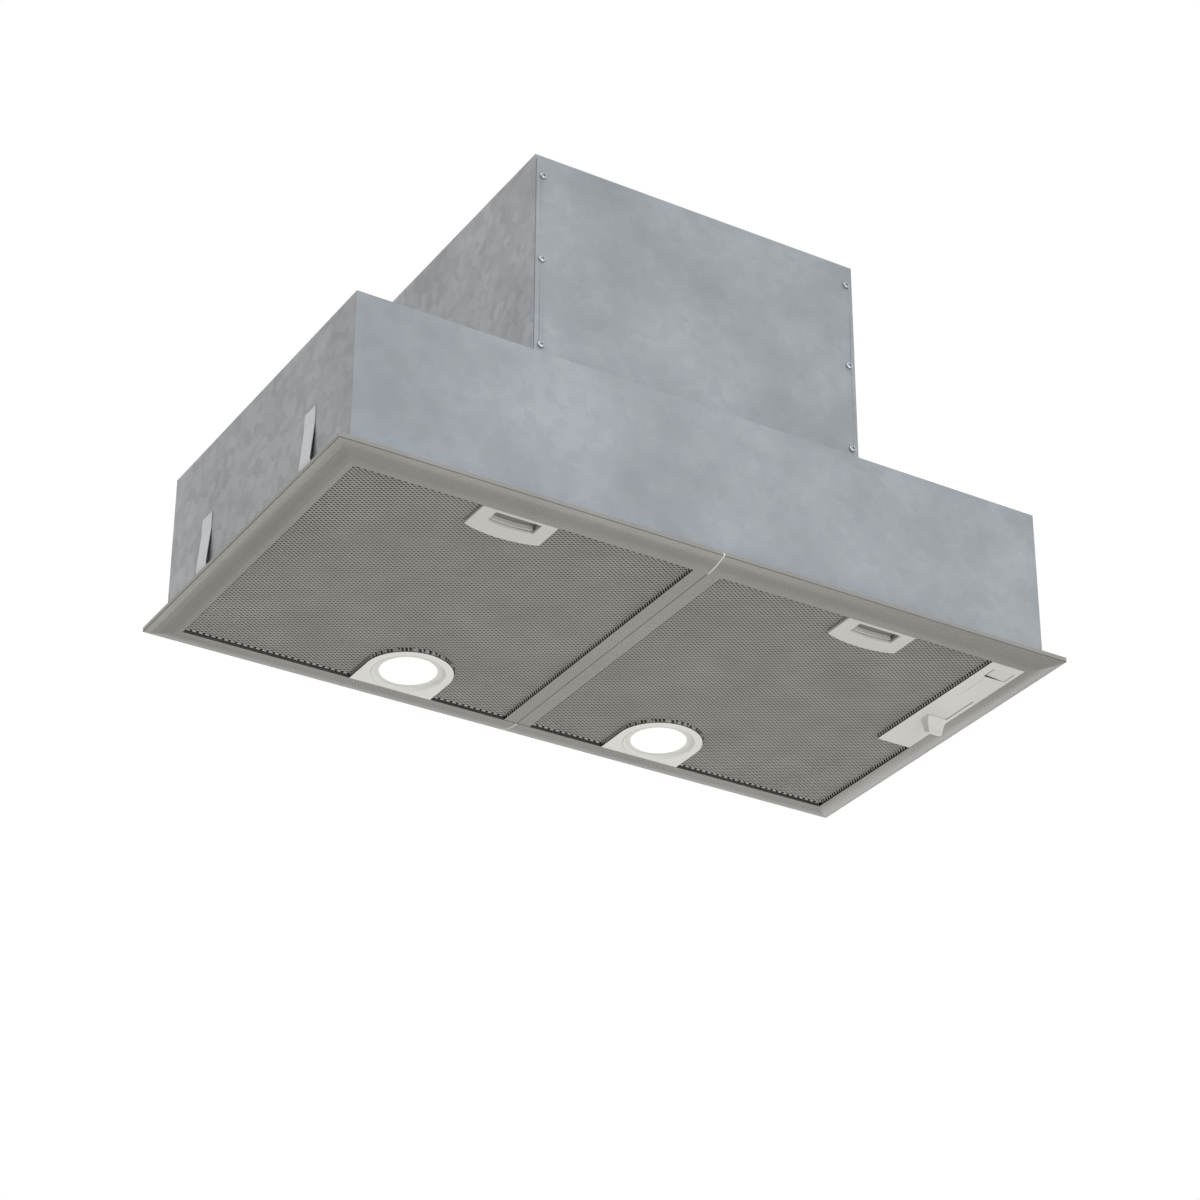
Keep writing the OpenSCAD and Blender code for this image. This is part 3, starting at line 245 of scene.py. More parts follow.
class EffectGroups:
    """Builds each shared node group once and hands it out."""

    GRAIN_SPREAD = (0.32, 0.68)
    BEND_SCALE = 90.0
    BEND_REACH = (0.006, 0.006, 0.006)
    CRYSTAL_RIM = (0.0, 0.12)
    FACES_UP = (0.5, 0.95)
    DUST_SCALE = 22.0
    DUST_SPREAD = (0.35, 0.75)
    DUST_SHARE = (0.25, 1.0)
    FILM_SPREAD = (0.4, 0.72)
    FLECK_SCALE = 260.0
    FLECK_SHARE = (0.6, 1.0)

    def __init__(self) -> None:
        """Starts with no group built."""
        self._built: dict[Effect, Tree] = {}
        self._makers: dict[Effect, Callable[[], Tree]] = {
            Effect.GRAIN: self._grain,
            Effect.DRIFT: self._drift,
            Effect.STREAKS: self._streaks,
            Effect.SPANGLE: self._spangle,
            Effect.DUST: self._dust,
            Effect.FILM: self._film,
        }

    def place(self, graph: Graph, effect: Effect, feeds: Mapping[str, object]) -> Node:
        """Puts one shared effect into a material.

        Args:
            graph: The material's node tree.
            effect: Which effect.
            feeds: A value or socket for each of the group's inputs.

        Returns:
            The group node.
        """
        if effect not in self._built:
            self._built[effect] = self._makers[effect]()
        return graph.add("ShaderNodeGroup", feeds, node_tree=self._built[effect])

    @staticmethod
    def _open(
        effect: Effect, takes: Mapping[str, str], gives: Mapping[str, str]
    ) -> tuple[Graph, Sockets, Sockets]:
        """Starts a group with its named sockets.

        Args:
            effect: The effect that the group makes.
            takes: The kind of each input, by name.
            gives: The kind of each output, by name.

        Returns:
            The group's graph, what it takes in and what it gives out.
        """
        tree = bpy.data.node_groups.new(effect.value, "ShaderNodeTree")
        for way, sockets in (("INPUT", takes), ("OUTPUT", gives)):
            for name, kind in sockets.items():
                tree.interface.new_socket(name=name, in_out=way, socket_type=f"NodeSocket{kind}")
        graph = Graph(tree)
        return graph, graph.add("NodeGroupInput").outputs, graph.add("NodeGroupOutput").inputs

    def _grain(self) -> Tree:
        """Fine moulded or sprayed grain: a value between two ends, and a height.

        Returns:
            The group's node tree.
        """
        takes = {"Vector": "Vector", "Scale": "Float", "Low": "Float", "High": "Float"}
        gives = {"Value": "Float", "Height": "Float"}
        graph, take, give = self._open(Effect.GRAIN, takes, gives)
        noise = graph.noise(take["Vector"], take["Scale"], detail=3.0, rough=0.6)
        value = graph.span(noise, self.GRAIN_SPREAD, (take["Low"], take["High"]))
        graph.feed(give["Value"], value)
        graph.feed(give["Height"], noise)
        return graph.tree

    def _drift(self) -> Tree:
        """Slow drift between two close shades of one colour.

        Returns:
            The group's node tree.
        """
        takes = {"Vector": "Vector", "Scale": "Float", "Dark": "Color", "Light": "Color"}
        graph, take, give = self._open(Effect.DRIFT, takes, {"Color": "Color"})
        noise = graph.noise(take["Vector"], take["Scale"], detail=5.0, rough=0.62)
        colour = graph.mix(graph.span(noise, SPREAD), take["Dark"], take["Light"])
        graph.feed(give["Color"], colour)
        return graph.tree

    def _streaks(self) -> Tree:
        """Long faint streaks, as rolling or brushing leaves them.

        Returns:
            The group's node tree.
        """
        takes = {"Vector": "Vector", "Stretch": "Vector", "Scale": "Float"}
        graph, take, give = self._open(Effect.STREAKS, takes, {"Value": "Float"})
        along = graph.vector("MULTIPLY", take["Vector"], take["Stretch"])
        noise = graph.noise(along, take["Scale"], detail=4.0, rough=0.7)
        graph.feed(give["Value"], graph.span(noise, SPREAD))
        return graph.tree

    def _spangle(self) -> Tree:
        """The crystals of a zinc coat: one value for each crystal, and its raised rim.

        Returns:
            The group's node tree.
        """
        takes = {"Vector": "Vector", "Scale": "Float"}
        gives = {"Value": "Float", "Height": "Float"}
        graph, take, give = self._open(Effect.SPANGLE, takes, gives)
        bend = graph.noise(take["Vector"], self.BEND_SCALE, detail=2.0, out="Color")
        push = graph.vector("MULTIPLY", bend, self.BEND_REACH)
        feeds = {"Vector": graph.vector("ADD", take["Vector"], push), "Scale": take["Scale"]}
        cells = graph.add("ShaderNodeTexVoronoi", feeds)
        rims = graph.add("ShaderNodeTexVoronoi", feeds, feature="DISTANCE_TO_EDGE")
        split = graph.add("ShaderNodeSeparateColor", {0: cells.outputs["Color"]})
        rim = graph.span(rims.outputs["Distance"], self.CRYSTAL_RIM, (1.0, 0.0))
        graph.feed(give["Value"], split.outputs[0])
        graph.feed(give["Height"], rim)
        return graph.tree

    def _dust(self) -> Tree:
        """Dust on faces that look up, broken up by noise.

        Returns:
            The group's node tree.
        """
        takes = {"Vector": "Vector", "Facing": "Vector", "Amount": "Float"}
        graph, take, give = self._open(Effect.DUST, takes, {"Mask": "Float"})
        split = graph.add("ShaderNodeSeparateXYZ", {0: take["Facing"]})
        up = graph.span(split.outputs["Z"], self.FACES_UP)
        noise = graph.noise(take["Vector"], self.DUST_SCALE, detail=6.0)
        patch = graph.span(noise, self.DUST_SPREAD, self.DUST_SHARE)
        mask = graph.maths("MULTIPLY", graph.maths("MULTIPLY", up, patch), take["Amount"])
        graph.feed(give["Mask"], mask)
        return graph.tree

    def _film(self) -> Tree:
        """A thin uneven film left by use and wiping, as soft patches.

        Returns:
            The group's node tree.
        """
        takes = {"Vector": "Vector", "Scale": "Float", "Amount": "Float"}
        graph, take, give = self._open(Effect.FILM, takes, {"Mask": "Float"})
        wide = graph.noise(take["Vector"], take["Scale"], detail=2.0)
        fine = graph.noise(take["Vector"], self.FLECK_SCALE, detail=3.0)
        patch = graph.span(wide, self.FILM_SPREAD)
        fleck = graph.span(fine, SPREAD, self.FLECK_SHARE)
        mask = graph.maths("MULTIPLY", graph.maths("MULTIPLY", patch, fleck), take["Amount"])
        graph.feed(give["Mask"], mask)
        return graph.tree


GROUPS = EffectGroups()


# Finishes


@dataclass(frozen=True)
class Finish:
    """A surface finish: two close shades, how rough it is, and the relief of its grain."""

    label: str
    slot: str
    dark: Colour
    light: Colour
    rough: Pair = (0.42, 0.52)
    metallic: float = 0.0
    specular: float = 0.5
    drift_scale: float = 9.0
    grain_scale: float = 1500.0
    relief: float = 0.12
    relief_depth: float = 0.02 * MM
    film: float = 0.0
    film_scale: float = 7.0
    film_colour: Colour = (0.3, 0.28, 0.24)
    dust: float = 0.0
    dust_colour: Colour = (0.5, 0.48, 0.45)
    coat: Pair = (0.0, 0.03)

    def material(self) -> bpy.types.Material:
        """Gives the finish's material, which is built at the first call.

        Returns:
            The material.
        """
        found = bpy.data.materials.get(self.label)
        if found is not None:
            return found
        made = bpy.data.materials.new(self.label)
        graph = Graph.fresh(made)
        place_at = graph.add("ShaderNodeTexCoord")
        self.build(graph, place_at.outputs["Object"], place_at.outputs["Normal"])
        return made

    def build(self, graph: Graph, where: Socket, facing: Socket) -> None:
        """Builds the nodes.

        Args:
            graph: The material's empty node tree.
            where: Object coordinates.
            facing: The surface normal in object space.
        """
        low, high = self.rough
        feeds = {"Vector": where, "Scale": self.grain_scale, "Low": low, "High": high}
        grain = GROUPS.place(graph, Effect.GRAIN, feeds)
        height = self.height(graph, where, grain)
        feeds = {"Strength": self.relief, "Distance": self.relief_depth, "Height": height}
        bump = graph.add("ShaderNodeBump", feeds)
        skin = graph.add(
            "ShaderNodeBsdfPrincipled",
            {
                "Base Color": self.soil(graph, where, facing, self.colour(graph, where)),
                "Roughness": self.roughness(graph, where, grain),
                "Metallic": self.metallic,
                "Specular IOR Level": self.specular,
                "Coat Weight": self.coat[0],
                "Coat Roughness": self.coat[1],
                "Normal": bump.outputs["Normal"],
            },
        )
        self.tune(graph, where, skin)
        graph.add("ShaderNodeOutputMaterial", {"Surface": skin.outputs["BSDF"]})

    def colour(self, graph: Graph, where: Socket) -> Socket:
        """The clean colour, drifting between the two shades.

        Args:
            graph: The material's node tree.
            where: Object coordinates.

        Returns:
            The clean colour.
        """
        shades = {"Dark": self.dark, "Light": self.light}
        feeds = {"Vector": where, "Scale": self.drift_scale, **shades}
        return GROUPS.place(graph, Effect.DRIFT, feeds).outputs["Color"]

    def soil(self, graph: Graph, where: Socket, facing: Socket, colour: Socket) -> Socket:
        """Lays the film and the dust over a colour.

        Args:
            graph: The material's node tree.
            where: Object coordinates.
            facing: The surface normal in object space.
            colour: The clean colour.

        Returns:
            The colour with film and dust, where the finish has them.
        """
        if self.film > 0:
            feeds = {"Vector": where, "Scale": self.film_scale, "Amount": self.film}
            film = GROUPS.place(graph, Effect.FILM, feeds)
            colour = graph.mix(film.outputs["Mask"], colour, self.film_colour)
        if self.dust > 0:
            feeds = {"Vector": where, "Facing": facing, "Amount": self.dust}
            dust = GROUPS.place(graph, Effect.DUST, feeds)
            colour = graph.mix(dust.outputs["Mask"], colour, self.dust_colour)
        return colour

    def height(self, graph: Graph, where: Socket, grain: Node) -> Socket:
        """The relief: here the grain's own."""
        return grain.outputs["Height"]

    def roughness(self, graph: Graph, where: Socket, grain: Node) -> Socket:
        """The roughness: here the grain's own value."""
        return grain.outputs["Value"]

    def tune(self, graph: Graph, where: Socket, skin: Node) -> None:
        """Sets what only this finish has on its shader: here nothing."""


@dataclass(frozen=True)
class RolledMetal(Finish):
    """Sheet or bar with faint streaks along one direction."""

    stretch: Point = (6.0, 120.0, 60.0)
    streak_scale: float = 6.0
    streak_share: float = 0.12

    def colour(self, graph: Graph, where: Socket) -> Socket:
        """The drifting shades, darkened a little along the streaks.

        Args:
            graph: The material's node tree.
            where: Object coordinates.

        Returns:
            The clean colour.
        """
        base = super().colour(graph, where)
        feeds = {"Vector": where, "Stretch": self.stretch, "Scale": self.streak_scale}
        streak = GROUPS.place(graph, Effect.STREAKS, feeds)
        share = graph.span(streak.outputs["Value"], UNIT, (0.0, self.streak_share))
        return graph.mix(share, base, self.dark)


@dataclass(frozen=True)
class ZincSheet(Finish):
    """Zinc-coated sheet with its crystal pattern."""

    crystal_scale: float = 95.0
    crystal_share: float = 0.35
    crystal_shine: Pair = (-0.07, 0.09)
    crystal_relief: float = 0.35

    def colour(self, graph: Graph, where: Socket) -> Socket:
        """The drifting shades, with each crystal a little lighter or darker.

        Args:
            graph: The material's node tree.
            where: Object coordinates.

        Returns:
            The clean colour.
        """
        base = super().colour(graph, where)
        crystal = self._crystal(graph, where, "Value")
        return graph.mix(graph.span(crystal, UNIT, (0.0, self.crystal_share)), base, self.dark)

    def roughness(self, graph: Graph, where: Socket, grain: Node) -> Socket:
        """Each crystal shines a little differently."""
        part = graph.span(self._crystal(graph, where, "Value"), UNIT, self.crystal_shine)
        return graph.maths("ADD", grain.outputs["Value"], part)

    def height(self, graph: Graph, where: Socket, grain: Node) -> Socket:
        """The crystals' rims stand over the grain.

        Args:
            graph: The material's node tree.
            where: Object coordinates.
            grain: The grain's group node.

        Returns:
            The relief's height.
        """
        crystal = self._crystal(graph, where, "Height")
        rim = graph.maths("MULTIPLY", crystal, self.crystal_relief)
        return graph.maths("ADD", rim, grain.outputs["Height"])

    def _crystal(self, graph: Graph, where: Socket, out: str) -> Socket:
        """Gives the crystal pattern's value or height."""
        feeds = {"Vector": where, "Scale": self.crystal_scale}
        return GROUPS.place(graph, Effect.SPANGLE, feeds).outputs[out]


@dataclass(frozen=True)
class GreaseLayers(Finish):
    """The stacked mesh behind the outer one: painted shade, dark, with the pale dots of its
    strands.
    """

    pitch: Pair = (6.2 * MM, 3.74 * MM)
    strand: Colour = (0.07, 0.068, 0.065)
    strand_crest: Pair = (0.55, 1.0)

    def colour(self, graph: Graph, where: Socket) -> Socket:
        """Crossing strands over a dark ground, both in painted shade.

        Args:
            graph: The material's node tree.
            where: Object coordinates.

        Returns:
            The clean colour.
        """
        base = super().colour(graph, where)
        split = graph.add("ShaderNodeSeparateXYZ", {0: where})
        across, along = (
            graph.maths("MULTIPLY", split.outputs[way], 2 * math.pi / pitch)
            for way, pitch in zip("XY", self.pitch)
        )
        rising = graph.maths("SINE", graph.maths("ADD", across, along))
        falling = graph.maths("SINE", graph.maths("SUBTRACT", across, along))
        share = graph.span(graph.maths("MAXIMUM", rising, falling), self.strand_crest)
        return graph.mix(share, base, self.strand)


@dataclass(frozen=True)
class LampGlow(Finish):
    """Frosted disc, lit from behind."""

    strength: float = 0.66
    fade: Pair = (17.0 * MM, 25.0 * MM)
    glow_middle: Colour = (1.0, 0.992, 0.972)
    glow_rim: Colour = (0.52, 0.51, 0.49)
    coat: Pair = (0.2, 0.3)

    def tune(self, graph: Graph, where: Socket, skin: Node) -> None:
        """Lets the disc give light of its own, which fades towards its rim.

        Args:
            graph: The material's node tree.
            where: Object coordinates.
            skin: The shader.
        """
        split = graph.add("ShaderNodeSeparateXYZ", {0: where})
        outward = graph.maths("ABSOLUTE", split.outputs["X"])
        across = graph.maths("SUBTRACT", outward, LAMP_CENTRE[0])
        along = graph.maths("SUBTRACT", split.outputs["Y"], LAMP_CENTRE[1])
        squares = [graph.maths("POWER", part, 2.0) for part in (across, along)]
        reach = graph.maths("SQRT", graph.maths("ADD", *squares))
        glow = graph.mix(graph.span(reach, self.fade), self.glow_middle, self.glow_rim)
        graph.feed(skin.inputs["Emission Color"], glow)
        graph.feed(skin.inputs["Emission Strength"], self.strength)


@dataclass(frozen=True)
class SilverLacquer(Finish):
    """Satin silver lacquer on sheet: a soft flake under a thin clear coat."""

    flake_scale: float = 5200.0
    flake_share: float = 0.07
    flake_gain: float = 1.45
    tint: Colour = (0.6, 0.6, 0.6)
    coat: Pair = (0.12, 0.45)

    def colour(self, graph: Graph, where: Socket) -> Socket:
        """The drifting shades with fine lighter flakes.

        Args:
            graph: The material's node tree.
            where: Object coordinates.

        Returns:
            The clean colour.
        """
        base = super().colour(graph, where)
        feeds = {"Vector": where, "Scale": self.flake_scale, "Low": 0.0, "High": self.flake_share}
        flake = GROUPS.place(graph, Effect.GRAIN, feeds)
        bright = tuple(min(1.0, part * self.flake_gain) for part in self.light)
        return graph.mix(flake.outputs["Value"], base, bright)

    def tune(self, graph: Graph, where: Socket, skin: Node) -> None:
        """Tints the shine."""
        graph.feed(skin.inputs["Specular Tint"], self.tint)


SILVER = SilverLacquer(
    "silver_lacquer", "silver_sheet", linear("918E8A"), linear("9A9793"),
    rough=(0.22, 0.3), metallic=0.6, relief=0.04, film=0.06, film_colour=linear("86827C"),
)
SILVER_EDGE = SilverLacquer(
    "silver_lacquer_edge", "silver_sheet", linear("9C9892"), linear("AAA69F"),
    rough=(0.36, 0.46), metallic=0.3, relief=0.05,
)
HANDLE_GREY = Finish(
    "grey_moulded_plastic", "grey_moulding", linear("CDCAC4"), linear("D5D2CD"),
    rough=(0.46, 0.58), grain_scale=1900.0, relief=0.18, film=0.08, film_colour=linear("A9A59A"),
)
PALE_PLASTIC = Finish(
    "pale_moulded_plastic", "pale_moulding", linear("D5D2CC"), linear("DCDAD5"),
    rough=(0.38, 0.5), grain_scale=1900.0, relief=0.15, film=0.06, film_colour=linear("B3AFA5"),
)
# Painted shade: a darker grey for the roof of the finger recess, where shade falls.
PAINTED_SHADE_ROOF = Finish(
    "painted_shade_recess_roof", "pale_moulding", linear("7E7C79"), linear("888683"),
    rough=(0.5, 0.62), grain_scale=1900.0, relief=0.15,
)
LAMP_PLASTIC = Finish(
    "lamp_moulded_plastic", "pale_moulding", linear("E8E6E2"), linear("EFEDE9"),
    rough=(0.34, 0.46), grain_scale=1900.0, relief=0.12,
)
WHITE_PLASTIC = Finish(
    "white_moulded_plastic", "white_moulding", linear("DFDEDA"), linear("E6E5E1"),
    rough=(0.34, 0.44), grain_scale=2600.0, relief=0.08,
)
BLACK_PLASTIC = Finish(
    "black_moulded_plastic", "black_moulding", linear("2B2C2E"), linear("343537"),
    rough=(0.5, 0.62), grain_scale=1500.0, relief=0.25, dust=0.3,
)
STRAND_METAL = Finish(
    "expanded_aluminium", "mesh_aluminium", linear("A3A09B"), linear("B1AFAA"),
    rough=(0.38, 0.55), metallic=0.45, drift_scale=16.0, grain_scale=2600.0, relief=0.2,
    film=0.12, film_colour=linear("8F8C86"),
)
# Painted shade: the filter's channel frame is coloured near black, for the shade behind the strands
# at the edges.
PAINTED_SHADE_CHANNEL = RolledMetal(
    "painted_shade_channel", "mesh_aluminium", linear("262524"), linear("31302E"),
    rough=(0.5, 0.62), metallic=0.2, specular=0.3, relief=0.1, stretch=(4.0, 90.0, 90.0),
)
# Painted shadow: near black for the walls of the openings, the step under the plate's edge and the
# rocker's end, where the gaps fall in shade.
PAINTED_GAP_SHADOW = Finish(
    "painted_shadow_opening_wall", "silver_sheet", linear("1B1A19"), linear("242321"),
    rough=(0.6, 0.75), specular=0.2, relief=0.1,
)
# Painted shade: a dark grey for the front and back walls of the openings and the lamp housing's
# outer wall.
PAINTED_SHADE_WALL = Finish(
    "painted_shade_wall", "pale_moulding", linear("4C4A47"), linear("565451"),
    rough=(0.6, 0.75), specular=0.2, relief=0.1,
)
# Painted shade: the stacked layers are coloured near black, for the shade in the filter's depth.
PAINTED_SHADE_LAYERS = GreaseLayers(
    "painted_shade_grease_layers", "mesh_aluminium", linear("161514"), linear("1E1D1B"),
    rough=(0.55, 0.7), metallic=0.2, specular=0.3, grain_scale=900.0, relief=0.3,
)
COOLING = RolledMetal(
    "cooling_plate", "cooling_metal", linear("A5A8AA"), linear("B8BBBD"),
    rough=(0.3, 0.42), metallic=0.8, stretch=(60.0, 6.0, 60.0),
)
ZINC = ZincSheet(
    "zinc_coated_sheet", "zinc_sheet", linear("8E9194"), linear("A8ABAE"),
    rough=(0.36, 0.5), metallic=0.55, relief=0.1, dust=0.22,
)
ZINC_EDGE = RolledMetal(
    "zinc_cut_edge", "zinc_sheet", linear("8A8C8F"), linear("A2A4A7"),
    rough=(0.3, 0.42), metallic=0.7,
)
PLATED = RolledMetal(
    "plated_steel", "bright_steel", linear("A6A8AA"), linear("BDBFC1"),
    rough=(0.2, 0.32), metallic=1.0, grain_scale=3000.0, relief=0.06, stretch=(50.0, 50.0, 8.0),
)
CORE = RolledMetal(
    "laminated_core", "winding_core", linear("5A4636"), linear("76604A"),
    rough=(0.35, 0.5), metallic=0.4, stretch=(900.0, 10.0, 10.0), streak_share=0.5,
)
BUSH = Finish(
    "sintered_bronze", "bronze", linear("8C6F3E"), linear("A98A52"),
    rough=(0.42, 0.6), metallic=0.85, grain_scale=2400.0, relief=0.3,
)
RUBBER = Finish(
    "soft_black_rubber", "soft_rubber", linear("1E1E1F"), linear("29292A"),
    rough=(0.68, 0.82), specular=0.35, grain_scale=1200.0, relief=0.3,
)
GLOW = LampGlow(
    "frosted_lamp_disc", "lamp_glass", linear("F4F2EC"), linear("FBF9F3"),
    rough=(0.3, 0.4), grain_scale=2200.0, relief=0.05,
)


# Hand work on meshes

# A face looks along a direction when its normal has at least this share of it.
SQUARE_ON = 0.9
# How far a face may lie from the wall that it is looked for in.
WALL_SLACK = 0.06 * MM


class Bench:
    """The hand moves that every piece is made with."""

    @staticmethod
    def clear() -> None:
        """Leaves edit mode and deselects everything."""
        if bpy.context.mode != "OBJECT":
            Bench.done()
        bpy.ops.object.select_all(action="DESELECT")

    @staticmethod
    def hold(piece: Piece) -> None:
        """Selects one piece alone and makes it active.

        Args:
            piece: The piece.
        """
        Bench.clear()
        piece.select_set(True)
        bpy.context.view_layer.objects.active = piece

    @staticmethod
    def edit(piece: Piece, every: bool = False) -> None:
        """Opens a piece in edit mode, with all or nothing of it selected.

        Args:
            piece: The piece.
            every: Whether all of it is selected, or nothing.
        """
        Bench.hold(piece)
        bpy.ops.object.mode_set(mode="EDIT")
        bpy.ops.mesh.select_mode(type="VERT")
        bpy.ops.mesh.select_all(action="SELECT" if every else "DESELECT")

    @staticmethod
    def done() -> None:
        """Goes back to object mode."""
        bpy.ops.object.mode_set(mode="OBJECT")

    @staticmethod
    def pick_vertices(piece: Piece, test: VertexTest) -> None:
        """Selects the vertices whose places pass a test, in a piece that is open in edit mode."""
        Bench._pick(piece, "VERT", "vertices", lambda vertex: test(vertex.co))

    @staticmethod
    def pick_faces(piece: Piece, test: FaceTest) -> None:
        """Selects the faces that pass a test, in a piece that is open in edit mode."""
        Bench._pick(piece, "FACE", "polygons", test)

    @staticmethod
    def _pick(piece: Piece, mode: str, part: str, test: Callable[..., bool]) -> None:
        """Selects the parts of a mesh that pass a test.

        Args:
            piece: The piece, open in edit mode.
            mode: The select mode for parts of this kind.
            part: The name of the mesh's list of them.
            test: Says of one part whether it is wanted.
        """
        bpy.ops.mesh.select_mode(type=mode)
        bpy.ops.mesh.select_all(action="DESELECT")
        Bench.done()
        for item in getattr(piece.data, part):
            item.select = test(item)
        bpy.ops.object.mode_set(mode="EDIT")

    @staticmethod
    def apply(piece: Piece, kind: str, **settings: object) -> None:
        """Adds a modifier, sets it and applies it.

        Args:
            piece: The piece.
            kind: The modifier's type.
            settings: Its options.
        """
        Bench.hold(piece)
        modifier = piece.modifiers.new(kind.lower(), kind)
        for name, value in settings.items():
            setattr(modifier, name, value)
        bpy.ops.object.modifier_apply(modifier=modifier.name)

    @staticmethod
    def array(piece: Piece, count: int, step: Point) -> None:
        """Repeats a piece in even steps.

        Args:
            piece: The piece.
            count: How many there are in all.
            step: The way from one to the next.
        """
        Bench.apply(
            piece, "ARRAY", count=count, use_relative_offset=False,
            use_constant_offset=True, constant_offset_displace=step,
        )

    @staticmethod
    def settle(piece: Piece) -> None:
        """Puts a piece's place into its mesh, so that its object sits at the origin."""
        Bench.hold(piece)
        bpy.ops.object.transform_apply(location=True, rotation=True, scale=True)

    @staticmethod
    def join(pieces: Sequence[Piece], name: str) -> Piece:
        """Joins pieces into the first one.

        Args:
            pieces: The pieces, each settled.
            name: The name of the result.

        Returns:
            The joined piece.
        """
        Bench.clear()
        for piece in pieces:
            piece.select_set(True)
        bpy.context.view_layer.objects.active = pieces[0]
        bpy.ops.object.join()
        pieces[0].name = name
        return pieces[0]

    @staticmethod
    def twin(piece: Piece, name: str) -> Piece:
        """Copies a piece with a mesh of its own.

        Args:
            piece: The piece.
            name: The copy's name.

        Returns:
            The copy.
        """
        copy = piece.copy()
        copy.data = piece.data.copy()
        copy.name = name
        bpy.context.scene.collection.objects.link(copy)
        return copy

    @staticmethod
    def smooth(piece: Piece, angle: float = math.radians(32)) -> None:
        """Shades the piece smooth, with edges past the angle kept sharp."""
        Bench.hold(piece)
        bpy.ops.object.shade_smooth_by_angle(angle=angle)

    @staticmethod
    def level(piece: Piece) -> None:
        """Lets the large faces rule the shading, so that flat sheet looks flat to its edges."""
        Bench.apply(piece, "WEIGHTED_NORMAL", mode="FACE_AREA", keep_sharp=True)

    @staticmethod
    def outward(piece: Piece) -> None:
        """Merges doubles and turns all faces outwards.

        Args:
            piece: The piece.
        """
        Bench.edit(piece, every=True)
        bpy.ops.mesh.remove_doubles(threshold=CUT_SLACK)
        bpy.ops.mesh.normals_make_consistent(inside=False)
        Bench.done()

    @staticmethod
    def cap(piece: Piece, sides: int) -> None:
        """Closes the open ends of a drawn-out section and turns its faces outwards.

        Args:
            piece: The piece.
            sides: The most sides that an end has.
        """
        Bench.edit(piece)
        bpy.ops.mesh.select_non_manifold(extend=False, use_boundary=True)
        bpy.ops.mesh.fill_holes(sides=sides)
        Bench.done()
        Bench.outward(piece)

    @staticmethod
    def from_node(node: str, name: str, flat: float | None = FLAT) -> Piece:
        """Copies a node's mesh as a clean piece of its own.

        Args:
            node: The CAD node.
            name: The piece's name.
            flat: Faces that meet at less than this angle become one. None leaves all as they are.

        Returns:
            The merged copy.
        """
        piece = bpy.data.objects.new(name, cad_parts[node].data.copy())
        bpy.context.scene.collection.objects.link(piece)
        piece.data.materials.clear()
        Bench.edit(piece, every=True)
        bpy.ops.mesh.customdata_custom_splitnormals_clear()
        bpy.ops.mesh.remove_doubles(threshold=MERGE_SLACK)
        if flat is not None:
            bpy.ops.mesh.dissolve_limited(angle_limit=flat)
        Bench.done()
        return piece

    @staticmethod
    def primitive(add: Callable[..., object], name: str, **settings: object) -> Piece:
        """Adds a primitive with nothing else selected.

        Args:
            add: The operator that adds it.
            name: The piece's name.
            settings: The operator's own options.

        Returns:
            The new piece.
        """
        Bench.clear()
        add(**settings)
        piece = bpy.context.view_layer.objects.active
        piece.name = name
        return piece


@dataclass(frozen=True)
class Rounding:
    """How far the edges of a piece are broken."""

    width: float = 0.3 * MM
    segments: int = 2
    past: float = math.radians(38)
    flat: float | None = FLAT

    def work(self, piece: Piece, edge: Finish | None = None) -> None:
        """Breaks the edges and shades the piece.

        Args:
            piece: The piece, with its main material in place.
            edge: A finish for the broken edges, where it differs.
        """
        slot = -1
        if edge is not None:
            piece.data.materials.append(edge.material())
            slot = len(piece.data.materials) - 1
        Bench.apply(
            piece, "BEVEL",
            width=self.width, segments=self.segments, limit_method="ANGLE", angle_limit=self.past,
            use_clamp_overlap=True, material=slot, miter_outer="MITER_ARC",
        )
        Bench.smooth(piece)
        Bench.level(piece)


FINE = Rounding(0.18 * MM, 2)
FINE_RING = Rounding(0.18 * MM, 2, flat=None)
SHEET = Rounding(0.22 * MM, 2, flat=None)
KNOB = Rounding(0.35 * MM, 3)
SOFT = Rounding(0.4 * MM, 3)
STRIP = Rounding(0.25 * MM, 2)
RIM = Rounding(0.3 * MM, 3, math.radians(33))


def dressed(
    node: str,
    finish: Finish,
    body: str,
    rounding: Rounding = FINE,
    edge: Finish | None = None,
    patches: Sequence[tuple[Finish, FaceTest]] = (),
) -> Piece:
    """Stands a finished copy in for a CAD node.

    Args:
        node: The CAD node.
        finish: Its finish.
        body: The CAD body that it rides on.
        rounding: How its edges are broken.
        edge: A finish for those edges, where it differs.
        patches: Further finishes, each with a test for the faces that take it.

    Returns:
        The finished piece.
    """
    piece = Bench.from_node(node, f"{node}_finished", rounding.flat)
    piece.data.materials.append(finish.material())
    for patch, test in patches:
        piece.data.materials.append(patch.material())
        for face in piece.data.polygons:
            if test(face):
                face.material_index = len(piece.data.materials) - 1
    rounding.work(piece, edge)
    place(piece, finish, body, node)
    return piece


def on_wall(axis: Axis, at: float) -> FaceTest:
    """Gives the test for faces of a wall that stands across an axis.

    Args:
        axis: The axis that the wall stands across.
        at: Its distance from the middle, on either side.

    Returns:
        A test that says of a face whether it lies in the wall.
    """

    def test(face: Face) -> bool:
        """True for a face that lies in the wall."""
        across = abs(abs(getattr(face.center, axis.letter)) - at) < WALL_SLACK
        return across and abs(getattr(face.normal, axis.letter)) > SQUARE_ON

    return test


def place(piece: Piece, finish: Finish, body: str, *nodes: str) -> None:
    """Makes a finished piece ride on its body and replace its nodes.

    Args:
        piece: The piece, with its place in its mesh.
        finish: Not used.
        body: The CAD body.
        nodes: The CAD nodes that it stands for.
    """
    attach(piece, body)
    if nodes:
        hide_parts(*nodes)
    LOG.info("%s: %d faces on %s", piece.name, len(piece.data.polygons), body)


